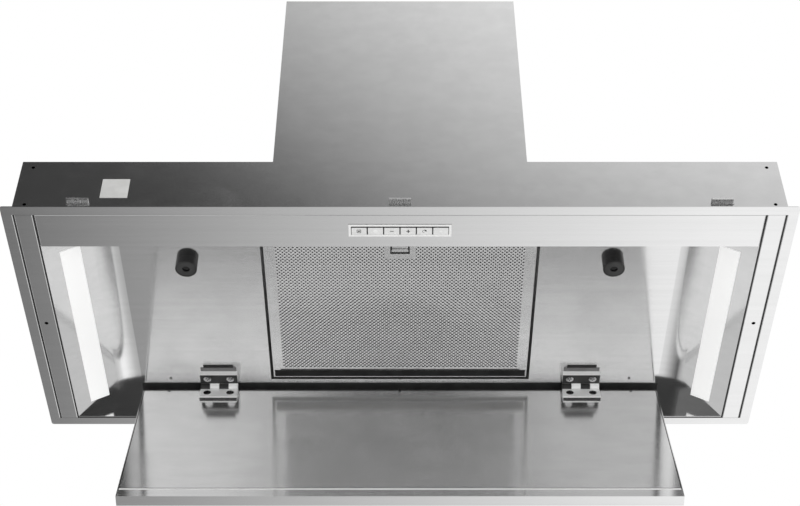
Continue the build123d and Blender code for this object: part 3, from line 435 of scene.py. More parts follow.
# %% [markdown]
# ## Steel, aluminium and plastic
#
# One recipe serves every bare metal. The scratches change the height, the roughness and, slightly,
# the colour, and smears make the metal duller in patches. What differs is how dense the scratches are
# along each axis: long ones along X make a brushed sheet, and even ones make a rolled or plated skin.
# Plastics and paint have a recipe of their own, with a real gloss on top of a matt colour.


# %% Metal recipe
def use_group(tree, group, place, **values):
    """Places a shader group in a material and sets its inputs."""
    node = add(tree, "ShaderNodeGroup", node_tree=group)
    link(tree, place, node.inputs["Place"])
    for label, value in values.items():
        node.inputs[label.replace("_", " ")].default_value = value
    return node


def bare_metal(name, dark, light, rough, density, relief=0.02, smear=0.06, patches=14.0):
    """Bare metal. rough is its lowest and highest roughness, density its scratches per metre by axis,
    relief the depth of a scratch in mm, and smear how much duller a handled patch is."""
    material, tree, skin = start_material(name)
    place = add(tree, "ShaderNodeTexCoord").outputs["Object"]
    grain = use_group(tree, brushed_grain, place, Density=density)
    marks = use_group(tree, handling_marks, place, Patches_per_metre=patches)
    tone = blend_values(tree, 0.5, grain.outputs["Scratch"], grain.outputs["Band"])
    link(tree, blend_colours(tree, ramp(tree, tone, 0.35, 0.65), dark, light), skin.inputs["Base Color"])
    roughness = ramp(tree, grain.outputs["Scratch"], 0.3, 0.7, rough[0], rough[1])
    dulled = maths(tree, "MULTIPLY_ADD", marks.outputs["Smear"], smear)
    link(tree, roughness, dulled.node.inputs[2])
    link(tree, dulled, skin.inputs["Roughness"])
    skin.inputs["Metallic"].default_value = 1.0
    bump = add(tree, "ShaderNodeBump")
    bump.inputs["Strength"].default_value = 1.0
    bump.inputs["Distance"].default_value = relief * MM
    link(tree, grain.outputs["Scratch"], bump.inputs["Height"])
    link(tree, bump.outputs["Normal"], skin.inputs["Normal"])
    return material


brushed_steel = bare_metal(
    "brushed_steel", grey(0.82), grey(0.86), (0.08, 0.14), (18.0, 2600.0, 2600.0), relief=0.0008, smear=0.03
)
housing_steel = bare_metal(
    "housing_steel", grey(0.77), grey(0.82), (0.09, 0.15), (700.0, 700.0, 900.0), relief=0.0008, smear=0.03
)
panel_steel = bare_metal(
    "panel_steel", grey(0.82), grey(0.87), (0.12, 0.20), (420.0, 900.0, 900.0), relief=0.0012, smear=0.03
)
galvanised = bare_metal(
    "galvanised_steel", (0.66, 0.67, 0.68), (0.76, 0.77, 0.78), (0.32, 0.46), (110.0, 110.0, 110.0)
)
clip_steel = bare_metal(
    "sprung_clips", grey(0.90), grey(0.96), (0.2, 0.3), (200.0, 200.0, 200.0), relief=0.0004
)
hinge_plate = bare_metal(
    "plated_hinge", grey(0.88), grey(0.94), (0.08, 0.16), (300.0, 300.0, 300.0), relief=0.002
)
screw_plate = bare_metal(
    "plated_screws", grey(0.80), grey(0.90), (0.14, 0.26), (500.0, 500.0, 500.0), relief=0.004
)
dark_screw = bare_metal(
    "blackened_screws", grey(0.16), grey(0.24), (0.14, 0.26), (500.0, 500.0, 500.0), relief=0.004
)
filter_aluminium = bare_metal(
    "filter_aluminium", grey(0.86), grey(0.93), (0.12, 0.20), (30.0, 1800.0, 1800.0), relief=0.001
)
# The mesh behind the perforated face is near black: painted shade inside the filter.
filter_wire_in_painted_shade = bare_metal(
    "filter_wire_in_painted_shade", grey(0.05), grey(0.12), (0.4, 0.6), (700.0, 700.0, 700.0), relief=0.3
)
print("metals:", [m.name for m in bpy.data.materials if m.name != "pale_floor"])


# %% Darkened zones
def darken_zone(material, level, **limits):
    """Gives a finish one dark tone inside a box, whose limits are x, y and z ranges in mm.

    It paints what the photograph shows as dark reflections, so the zone stays dark in every view.
    """
    tree = material.node_tree
    skin = tree.nodes["Principled BSDF"]
    place = add(tree, "ShaderNodeSeparateXYZ")
    link(tree, add(tree, "ShaderNodeTexCoord").outputs["Object"], place.inputs[0])
    inside = 1.0
    for axis, (low, high) in limits.items():
        along = place.outputs["xyz".index(axis)]
        above = maths(tree, "GREATER_THAN", along, low * MM)
        below = maths(tree, "LESS_THAN", along, high * MM)
        between = maths(tree, "MULTIPLY", above, below)
        inside = maths(tree, "MULTIPLY", between, inside)
    plain = skin.inputs["Base Color"].links[0].from_socket
    link(tree, blend_colours(tree, inside, plain, grey(level)), skin.inputs["Base Color"])


# A painted dark reflection on the plated screws inside this box.
POST_SCREW_PAINTED_REFLECTION = 0.05
POST_SCREW_ROWS = (-100.0, -30.0)
POST_SCREW_HEIGHTS = (0.0, 40.0)
darken_zone(screw_plate, POST_SCREW_PAINTED_REFLECTION, y=POST_SCREW_ROWS, z=POST_SCREW_HEIGHTS)
print("dark zone on the plated screws, y from", *POST_SCREW_ROWS, "mm")


# %% Plastic and paint recipe
def coloured_skin(name, dark, light, roughness, bumps=900.0, relief=0.01, coat=0.0):
    """Plastic, rubber, paint or lacquer: a mottled colour under an even gloss."""
    material, tree, skin = start_material(name)
    place = add(tree, "ShaderNodeTexCoord").outputs["Object"]
    peel = use_group(tree, moulded_skin, place, Bumps_per_metre=bumps)
    marks = use_group(tree, handling_marks, place, Patches_per_metre=30.0)
    mottle = ramp(tree, peel.outputs["Mottle"], 0.35, 0.65)
    link(tree, blend_colours(tree, mottle, dark, light), skin.inputs["Base Color"])
    dulled = maths(tree, "MULTIPLY_ADD", marks.outputs["Smear"], 0.1)
    dulled.node.inputs[2].default_value = roughness
    link(tree, dulled, skin.inputs["Roughness"])
    skin.inputs["Coat Weight"].default_value = coat
    bump = add(tree, "ShaderNodeBump")
    bump.inputs["Strength"].default_value = 1.0
    bump.inputs["Distance"].default_value = relief * MM
    link(tree, peel.outputs["Height"], bump.inputs["Height"])
    link(tree, bump.outputs["Normal"], skin.inputs["Normal"])
    return material


black_plastic = coloured_skin("black_plastic", grey(0.012), grey(0.022), 0.38)
# Black rubber for the mounts, and the same black for the bars of painted shade in the gaps.
rubber_and_painted_shade = coloured_skin("black_rubber_and_painted_shade", grey(0.02), grey(0.03), 0.7, bumps=1500.0, relief=0.03)
# Pale for the painted bright reflections on the backs of the ribs.
pale_painted_reflection = coloured_skin("pale_painted_reflection", grey(0.94), grey(0.97), 0.6)
# A pale strip that paints the highlight on the panel's fold.
fold_edge = coloured_skin("fold_painted_highlight", grey(0.94), grey(0.97), 0.3, relief=0.001)
magnet_face = coloured_skin("magnet_casing", grey(0.03), grey(0.04), 0.45)
keypad_trim = coloured_skin("keypad_trim", grey(0.90), grey(0.94), 0.35)
button_plastic = coloured_skin("button_plastic", grey(0.82), grey(0.86), 0.3, coat=0.2)
led_tray = coloured_skin("white_tray", grey(0.78), grey(0.82), 0.5)
board_lacquer = coloured_skin("board_lacquer", (0.02, 0.12, 0.05), (0.03, 0.17, 0.07), 0.35, coat=0.3)
label_paper = coloured_skin("blank_label", (0.56, 0.56, 0.55), (0.62, 0.62, 0.61), 0.45, relief=0.004)
foam = coloured_skin("damping_board", (0.10, 0.10, 0.105), (0.16, 0.16, 0.165), 0.9, bumps=2500.0, relief=0.2)
motor_paint = coloured_skin("motor_enamel", grey(0.05), grey(0.07), 0.3, coat=0.3)
# Grey of a painted reflection: the hinge's mirror image in the ceiling.
grey_painted_reflection = coloured_skin("grey_painted_reflection", grey(0.15), grey(0.19), 0.4)
fixed_leaf_zinc = coloured_skin("zinc_fixed_leaf", grey(0.94), grey(0.97), 0.28, relief=0.002)
moving_leaf_zinc = coloured_skin("zinc_moving_leaf", grey(0.94), grey(0.97), 0.28, relief=0.002)
# The dark zones on the hinge leaves are painted dark reflections of the recess: the fixed leaf's underside
# and the moving leaf's knuckles.
LEAF_PAINTED_REFLECTION = 0.03
LEAF_METALLIC = 0.1
darken_zone(fixed_leaf_zinc, LEAF_PAINTED_REFLECTION, y=(124.4, 139.8), z=(0.0, 29.0))
darken_zone(moving_leaf_zinc, LEAF_PAINTED_REFLECTION, y=(140.1, 152.0), z=(22.6, 34.0))
for zinc in (fixed_leaf_zinc, moving_leaf_zinc):
    zinc.node_tree.nodes["Principled BSDF"].inputs["Metallic"].default_value = LEAF_METALLIC
icon_ink = coloured_skin("icon_ink", grey(0.05), grey(0.07), 0.5)
icon_white = coloured_skin("icon_white", grey(0.93), grey(0.96), 0.4)
print("materials:", len(bpy.data.materials))

# %% [markdown]
# ## The lit lens
#
# Each lamp is a long opal cover with a row of diodes behind it. Opal plastic spreads the light, so the
# cover is evenly white with only a faint fall-off at its rim. It could be made with real diodes and
# a scattering volume, but a gently uneven glow on the plastic gives the same look without noise.

# %% Opal lens
LENS_GLOW = 0.25
lens_plastic, tree, skin = start_material("opal_lens")
place = add(tree, "ShaderNodeTexCoord").outputs["Object"]
cloud = add(tree, "ShaderNodeTexNoise")
cloud.inputs["Scale"].default_value = 9.0
link(tree, place, cloud.inputs["Vector"])
glow = ramp(tree, cloud.outputs["Fac"], 0.3, 0.7, 0.93, 1.0)
glow_colour = add(tree, "ShaderNodeCombineColor")
for slot in glow_colour.inputs:
    link(tree, glow, slot)
skin.inputs["Base Color"].default_value = (0.9, 0.9, 0.9, 1.0)
skin.inputs["Roughness"].default_value = 0.35
link(tree, glow_colour.outputs[0], skin.inputs["Emission Color"])
skin.inputs["Emission Strength"].default_value = LENS_GLOW
print("lens glow", LENS_GLOW)

# %% [markdown]
# ## Dressing the parts
#
# Every part has one finish. Most follow the kind of piece they are, and a few stand out, such as the
# magnets in their black posts. A short table from finish to parts is easier to check than a rule.

# %% Finish table
finishes = {
    brushed_steel: "rim_frame inner_tray control_strip side_strip_right side_strip_left panel_outer_skin",
    panel_steel: "panel_inner_skin",
    housing_steel: "outer_casing motor_housing top_plate",
    clip_steel: "mounting_clips",
    galvanised: "plenum_box duct_collar blower_scroll_right blower_scroll_left motor_bracket",
    hinge_plate: "hinge_panel_spacers",
    fixed_leaf_zinc: "hinge_fixed_leaves hinge_ceiling_spacers",
    moving_leaf_zinc: "hinge_moving_leaves",
    screw_plate: "ceiling_screws hinge_pins housing_screws damper_pins latch_spring",
    dark_screw: "panel_screws panel_rivets",
    filter_aluminium: "filter_frame filter_back filter_face filter_latch",
    filter_wire_in_painted_shade: "filter_mesh",
    black_plastic: "catch_posts cable_gland control_box control_lid capacitor impeller tact_switches "
    "damper_flap_front damper_flap_rear led_driver",
    rubber_and_painted_shade: "rubber_mounts",
    magnet_face: "pot_magnets",
    keypad_trim: "keypad_bezel",
    button_plastic: "button_power button_light button_minus button_plus button_timer button_filter",
    lens_plastic: "led_diffuser_right led_diffuser_left",
    led_tray: "led_housings",
    board_lacquer: "led_boards control_board keypad_board",
    label_paper: "rating_plate",
    foam: "panel_core",
    motor_paint: "motor_case",
}
dressed = set()
for finish, names in finishes.items():
    for name in names.split():
        part = parts[name]
        for holder in part.material_slots:
            holder.material = finish
        dressed.add(name)
print("dressed", len(dressed), "parts; plain:", sorted(set(parts) - dressed))

# %% [markdown]
# ## Painted shade and reflections in the gaps
#
# Between the sheets run narrow gaps, and in the photograph they are black lines of shade. Each gap gets
# a thin black bar of painted shade just below the surface. A dark line painted on the steel would be
# quicker, but it would have no edge and would be lost from the mesh.
#
# Round the filter the photograph shows black lines, but almost none in the filter's mirror image in
# the panel, and it doesn't show why. Fine ribs with painted reflections stand in for the cause: black on
# their upright front faces, which the camera sees from in front, and pale on their backs, which the panel
# mirrors.


# %% Bars and prints
def prism(outline, low, high):
    """Corners and faces of a flat outline, given anticlockwise in mm, thickened from low to high."""
    count = len(outline)
    corners = [(x * MM, y * MM, low * MM) for x, y in outline]
    corners += [(x * MM, y * MM, high * MM) for x, y in outline]
    faces = [tuple(reversed(range(count))), tuple(range(count, 2 * count))]
    for k in range(count):
        following = (k + 1) % count
        faces.append((k, following, count + following, count + k))
    return corners, faces


def bar(x_low, x_high, y_low, y_high):
    """The outline of a rectangle."""
    return [(x_low, y_low), (x_high, y_low), (x_high, y_high), (x_low, y_high)]


def flat_piece(name, outlines, low, high, finish, body):
    """One mesh from several outlines, thickened from low to high, that moves with a body."""
    corners = []
    faces = []
    for outline in outlines:
        new_corners, new_faces = prism(outline, low, high)
        faces += [tuple(len(corners) + k for k in face) for face in new_faces]
        corners += new_corners
    mesh = bpy.data.meshes.new(name)
    mesh.from_pydata(corners, [], faces)
    mesh.materials.append(finish)
    piece = bpy.data.objects.new(name, mesh)
    scene.collection.objects.link(piece)
    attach(piece, body)
    return piece


def both_sides(x_low, x_high, y_low, y_high):
    """The same rectangle on the right and, mirrored, on the left."""
    return [bar(x_low, x_high, y_low, y_high), bar(-x_high, -x_low, y_low, y_high)]


# %% Ribbed strips of painted reflection
RIB_LEAN = 1.1
RIB_FOOT = 0.05


def ribbed_painted_reflection(name, across, y_low, y_high, tip, root, body):
    """A strip of fine ribs along X with painted reflections: each has a black upright front face and a pale
    sloping back.
    """
    height = root - tip - RIB_FOOT
    count = math.ceil((y_high - y_low) / (RIB_LEAN * height))
    pitch = (y_high - y_low) / count
    valley = root - RIB_FOOT
    corners = []
    faces = []
    black = []
    for x_low, x_high in across:
        for rib in range(count):
            front = y_low + rib * pitch
            back = front + pitch
            profile = [(front, root), (front, valley), (front, tip), (back, valley), (back, root)]
            start = len(corners)
            corners += [(x_low * MM, y * MM, z * MM) for y, z in profile]
            corners += [(x_high * MM, y * MM, z * MM) for y, z in profile]
            left_end = (4, 3, 2, 1, 0)
            right_end = (5, 6, 7, 8, 9)
            root_face = (5, 9, 4, 0)
            sloping_back = (2, 3, 8, 7)
            upright_front = (1, 2, 7, 6)
            for face in (left_end, right_end, root_face, sloping_back, upright_front):
                faces.append(tuple(start + corner for corner in face))
                black.append(face not in (root_face, sloping_back))
    mesh = bpy.data.meshes.new(name)
    mesh.from_pydata(corners, [], faces)
    mesh.materials.append(rubber_and_painted_shade)
    mesh.materials.append(pale_painted_reflection)
    for polygon, is_black in zip(mesh.polygons, black):
        polygon.material_index = 0 if is_black else 1
    strip = bpy.data.objects.new(name, mesh)
    scene.collection.objects.link(strip)
    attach(strip, body)
    return strip


# %% Strips of painted shade and painted reflection
CEILING = 34.0
GROOVE_ROWS = (-171.7, 171.7)
GROOVE_LEVELS = (0.5, 0.95)
OUTER_GROOVE = (416.4, 418.0)
INNER_GROOVE = (395.0, 396.6)
REAR_PAINTED_REFLECTION = bar(-318.0, 318.0, 146.2, 168.0)
FILTER_HALF = 154.9
OPENING_HALF = 158.3
FILTER_SIDES = ((FILTER_HALF, OPENING_HALF), (-OPENING_HALF, -FILTER_HALF))
FILTER_SIDE_ROWS = (-121.0, 134.2)
OPENING_EDGE_ROWS = (134.3, 138.4)
FILTER_REAR_HALF = 153.0
FILTER_REAR_ROWS = (121.0, 132.3)
FILTER_REAR_LEVELS = (33.1, 33.4)
HINGE_BAR_SIDES = (204.0, 240.0)
HINGE_BAR_ROWS = (112.2, 117.0)
HINGE_BARS_LOW = 33.6
HINGE_REFLECTION_SIDES = (200.0, 243.8)
HINGE_REFLECTION_ROWS = (117.0, 123.3)
TONGUE = bar(-9.6, 9.6, -84.0, -80.7)
TONGUE_LEVELS = (34.95, 35.35)

grooves = both_sides(*OUTER_GROOVE, *GROOVE_ROWS) + both_sides(*INNER_GROOVE, *GROOVE_ROWS)
opening_edge = ((-OPENING_HALF, OPENING_HALF),)
filter_rear = ((-FILTER_REAR_HALF, FILTER_REAR_HALF),)
hinge_bar = both_sides(*HINGE_BAR_SIDES, *HINGE_BAR_ROWS)
hinge_reflection = both_sides(*HINGE_REFLECTION_SIDES, *HINGE_REFLECTION_ROWS)
painted_strips = [
    # Painted shade in the grooves beside the side strips.
    flat_piece("side_strip_painted_shade", grooves, *GROOVE_LEVELS, rubber_and_painted_shade, "hood"),
    # A painted dark reflection across the back of the ceiling.
    flat_piece("rear_ceiling_painted_reflection", [REAR_PAINTED_REFLECTION], 33.4, CEILING, rubber_and_painted_shade, "hood"),
    # Ribs with painted dark reflections on their fronts and painted bright reflections on their backs.
    ribbed_painted_reflection("ceiling_edge_painted_reflection", opening_edge, *OPENING_EDGE_ROWS, 33.4, CEILING, "hood"),
    ribbed_painted_reflection("filter_side_painted_reflection", FILTER_SIDES, *FILTER_SIDE_ROWS, 33.5, CEILING, "hood"),
    ribbed_painted_reflection("filter_rear_painted_reflection", filter_rear, *FILTER_REAR_ROWS, *FILTER_REAR_LEVELS, "filter"),
    # A black bar on the ceiling in front of each hinge.
    flat_piece("hinge_dark_bar", hinge_bar, HINGE_BARS_LOW, CEILING, rubber_and_painted_shade, "hood"),
    # A grey painted reflection of the hinge in the ceiling.
    flat_piece("hinge_painted_reflection", hinge_reflection, HINGE_BARS_LOW, CEILING, grey_painted_reflection, "hood"),
]
flat_piece("latch_tongue", [TONGUE], *TONGUE_LEVELS, filter_aluminium, "filter_latch")
print("seals:", [painted_strip.name for painted_strip in painted_strips])

# %% [markdown]
# ## The fold along the panel's free edge
#
# The outer skin folds back over the inner one, and the fold's rounded edge shows as a bright line with
# a dark seam beside it. The bright line is a painted highlight on a pale strip, and the dark seams are
# black bars of painted shade. Both are drawn as if the panel were closed, and then swung down about its pins.

# %% Fold and seams of the panel
PIN_ROW = 145.0
PIN_HEIGHT = 27.5
PANEL_OPENING = math.radians(72.7)
PANEL_FACE = 22.7


def swing_down(piece):
    """Turns a piece that was drawn on the closed panel to where the open panel hangs."""
    for vertex in piece.data.vertices:
        along = vertex.co.y - PIN_ROW * MM
        up = vertex.co.z - PIN_HEIGHT * MM
        vertex.co.y = PIN_ROW * MM + along * math.cos(PANEL_OPENING) - up * math.sin(PANEL_OPENING)
        vertex.co.z = PIN_HEIGHT * MM + along * math.sin(PANEL_OPENING) + up * math.cos(PANEL_OPENING)


SEAM_INNER = 314.2
SEAM_OUTER = 315.1
SEAM_REAR = 146.7
SKIN_END = -58.4
FOLD_EDGE = -59.4
FOLD_END = -61.6
BELOW_FACE = 0.1
SEAM_PROUD = 0.05
FOLD_PROUD = 0.2
low = PANEL_FACE - BELOW_FACE
seams = both_sides(SEAM_INNER, SEAM_OUTER, FOLD_EDGE, SEAM_REAR)
seams.append(bar(-SEAM_INNER, SEAM_INNER, FOLD_EDGE, SKIN_END))
fold = [bar(-SEAM_INNER, SEAM_INNER, FOLD_END, FOLD_EDGE)]
# Black bars of painted shade in the seams, and a pale strip of painted highlight along the fold.
swing_down(flat_piece("panel_seams_painted_shade", seams, low, PANEL_FACE + SEAM_PROUD, rubber_and_painted_shade, "panel"))
swing_down(flat_piece("panel_fold_painted_highlight", fold, low, PANEL_FACE + FOLD_PROUD, fold_edge, "panel"))
print("panel seams:", len(seams), "bars, and a fold", FOLD_EDGE - FOLD_END, "mm wide")

# %% [markdown]
# ## The keypad
#
# Six white caps stand in a white bezel, with a dark gap round each one. The gaps are filled by thin
# black bars of painted shade, and a thin black line of painted shade runs in front of the bezel. Each
# cap carries a small printed sign. The signs are thin raised shapes that ride on their own cap, so that
# they move with it when it is pressed. In the photograph they are only a few pixels high, so their shapes are
# partly guessed.

# %% Gaps of the keypad
BUTTON_PITCH = 17.8
WINDOW_FRONT = -155.1
CAP_FRONT = -153.1
WINDOW_REAR = -142.9
WINDOW_HALF = 53.3
HALF_GAP = 0.6
GAP_LEVELS = (-0.1, 0.3)
BEZEL_HALF = 56.0
FRONT_LINE_ROWS = (-158.5, -158.05)
FRONT_LINE_LEVELS = (-0.12, 0.0)

# The black bars in the keypad's gaps and the line in front of the bezel are painted shade.
gap_bars = [bar(-WINDOW_HALF, WINDOW_HALF, WINDOW_FRONT, CAP_FRONT)]
for count in range(-3, 4):
    middle = count * BUTTON_PITCH
    left = max(middle - HALF_GAP, -WINDOW_HALF)
    right = min(middle + HALF_GAP, WINDOW_HALF)
    gap_bars.append(bar(left, right, CAP_FRONT, WINDOW_REAR))
flat_piece("keypad_gap_painted_shade", gap_bars, *GAP_LEVELS, rubber_and_painted_shade, "hood")
front_line = bar(-BEZEL_HALF, BEZEL_HALF, *FRONT_LINE_ROWS)
flat_piece("keypad_front_painted_shade", [front_line], *FRONT_LINE_LEVELS, rubber_and_painted_shade, "hood")
print("gap bars:", len(gap_bars))


# %% Printed signs
def sector(x, y, inner, outer, start, end, steps):
    """Outlines of a ring or, where inner is 0, of a disc between two angles in degrees."""
    outlines = []
    for k in range(steps):
        first, last = [math.radians(start + (end - start) * (k + part) / steps) for part in (0, 1)]
        outline = [
            (x + outer * math.cos(first), y + outer * math.sin(first)),
            (x + outer * math.cos(last), y + outer * math.sin(last)),
        ]
        if inner > 0.0:
            outline.append((x + inner * math.cos(last), y + inner * math.sin(last)))
            outline.append((x + inner * math.cos(first), y + inner * math.sin(first)))
        else:
            outline.append((x, y))
        outlines.append(outline)
    return outlines


SIGN_ROW = -147.9
SIGN_FACE = -0.3
SIGN_RELIEF = 0.05


def box_outline(x, y, half_x, half_y, line):
    """Four bars round a rectangle."""
    return [
        bar(x - half_x, x + half_x, y - half_y, y - half_y + line),
        bar(x - half_x, x + half_x, y + half_y - line, y + half_y),
        bar(x - half_x, x - half_x + line, y - half_y + line, y + half_y - line),
        bar(x + half_x - line, x + half_x, y - half_y + line, y + half_y - line),
    ]


signs = {
    "power": (box_outline(-44.7, SIGN_ROW, 2.3, 2.5, 0.6) + [bar(-45.7, -43.7, -148.9, -146.9)], icon_ink),
    "light": (sector(-26.8, SIGN_ROW, 0.0, 2.3, 0, 360, 20), icon_white),
    "minus": ([bar(-11.2, -6.8, SIGN_ROW - 0.45, SIGN_ROW + 0.45)], icon_ink),
    "plus": (
        [
            bar(6.9, 11.1, SIGN_ROW - 0.5, SIGN_ROW + 0.5),
            bar(8.4, 9.6, SIGN_ROW - 2.3, SIGN_ROW - 0.5),
            bar(8.4, 9.6, SIGN_ROW + 0.5, SIGN_ROW + 2.3),
        ],
        icon_ink,
    ),
    "timer": (
        sector(26.8, SIGN_ROW, 1.9, 2.4, -270, 0, 18) + sector(26.8, SIGN_ROW, 0.0, 2.4, -90, 0, 6),
        icon_ink,
    ),
    "filter": (sector(44.6, SIGN_ROW, 0.0, 1.5, 0, 360, 16), icon_white),
}
for button, (outlines, ink) in signs.items():
    flat_piece("sign_" + button, outlines, SIGN_FACE - SIGN_RELIEF, SIGN_FACE, ink, "button_" + button)
print("signs:", list(signs))

# %% [markdown]
# ## The perforated filter face
#
# The filter's lower face is a thin aluminium sheet with thousands of small staggered holes, each
# pressed in slightly, so that its sloping wall catches the light on one side. This is work for
# Geometry Nodes. *Fill Curve* could fill the sheet between its outline and all the rings at once, but
# it is slow with thousands of rings. So it fills one diamond round one ring, and a copy of that tile
# goes on each point of a staggered grid, where the diamonds meet edge to edge. The plain border and
# the plain patch round the latch are filled once, between the outline and the rim of all the tiles.
# A cone on each point makes the sloping wall of its hole.

# %% Sizes of the perforation
HOLE_COLUMN = 4.9 * MM
HOLE_ROW = 2.65 * MM
HOLE_MOUTH = 1.84 * MM
HOLE_THROAT = 1.1 * MM
HOLE_SIDES = 6
SHEET_THICKNESS = 0.5 * MM
MESH_SIDE_BORDER = 8.7 * MM
MESH_END_BORDER = 12.5 * MM
GRIP_HALF = 18.0 * MM
GRIP_REACH = 37.0 * MM
GRIP_WINDOW_HALF = 11.0 * MM
GRIP_WINDOW_DEPTH = 20.0 * MM
GRIP_WINDOW_BORDER = 8.0 * MM

sheet_low, sheet_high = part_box("filter_face")
mesh_low = sheet_low + Vector((MESH_SIDE_BORDER, MESH_END_BORDER, 0.0))
mesh_high = sheet_high - Vector((MESH_SIDE_BORDER, MESH_END_BORDER, 0.0))
print("face sheet", [round(v / MM, 1) for v in (*sheet_low, *sheet_high)])


# %% Geometry Nodes helpers
def wire(tree, kind, inputs=None, **settings):
    """Adds a geometry node, sets its properties, and sets or links its inputs by name."""
    node = add(tree, kind, **settings)
    for label, value in (inputs or {}).items():
        socket = node.inputs[label]
        if isinstance(value, bpy.types.NodeSocket):
            tree.links.new(value, socket)
        else:
            socket.default_value = value
    return node


def new_tree(name, inputs):
    """A geometry tree with named inputs (name, kind) and one geometry output."""
    tree = bpy.data.node_groups.new(name, "GeometryNodeTree")
    for label, kind in inputs:
        tree.interface.new_socket(label, in_out="INPUT", socket_type=kind)
    tree.interface.new_socket("Geometry", in_out="OUTPUT", socket_type="NodeSocketGeometry")
    return tree, add(tree, "NodeGroupInput").outputs, add(tree, "NodeGroupOutput").inputs["Geometry"]


def grow(name, tree, values):
    """Runs a geometry tree with these input values and returns its result as a plain mesh object."""
    seed = bpy.data.objects.new(name + "_seed", bpy.data.meshes.new(name + "_seed"))
    scene.collection.objects.link(seed)
    modifier = seed.modifiers.new("grow", "NODES")
    modifier.node_group = tree
    for item in tree.interface.items_tree:
        if item.item_type == "SOCKET" and item.in_out == "INPUT":
            modifier[item.identifier] = values[item.name]
    view = bpy.context.evaluated_depsgraph_get()
    mesh = bpy.data.meshes.new_from_object(seed.evaluated_get(view), depsgraph=view)
    mesh.name = name
    bpy.data.objects.remove(seed)
    grown = bpy.data.objects.new(name, mesh)
    scene.collection.objects.link(grown)
    return grown


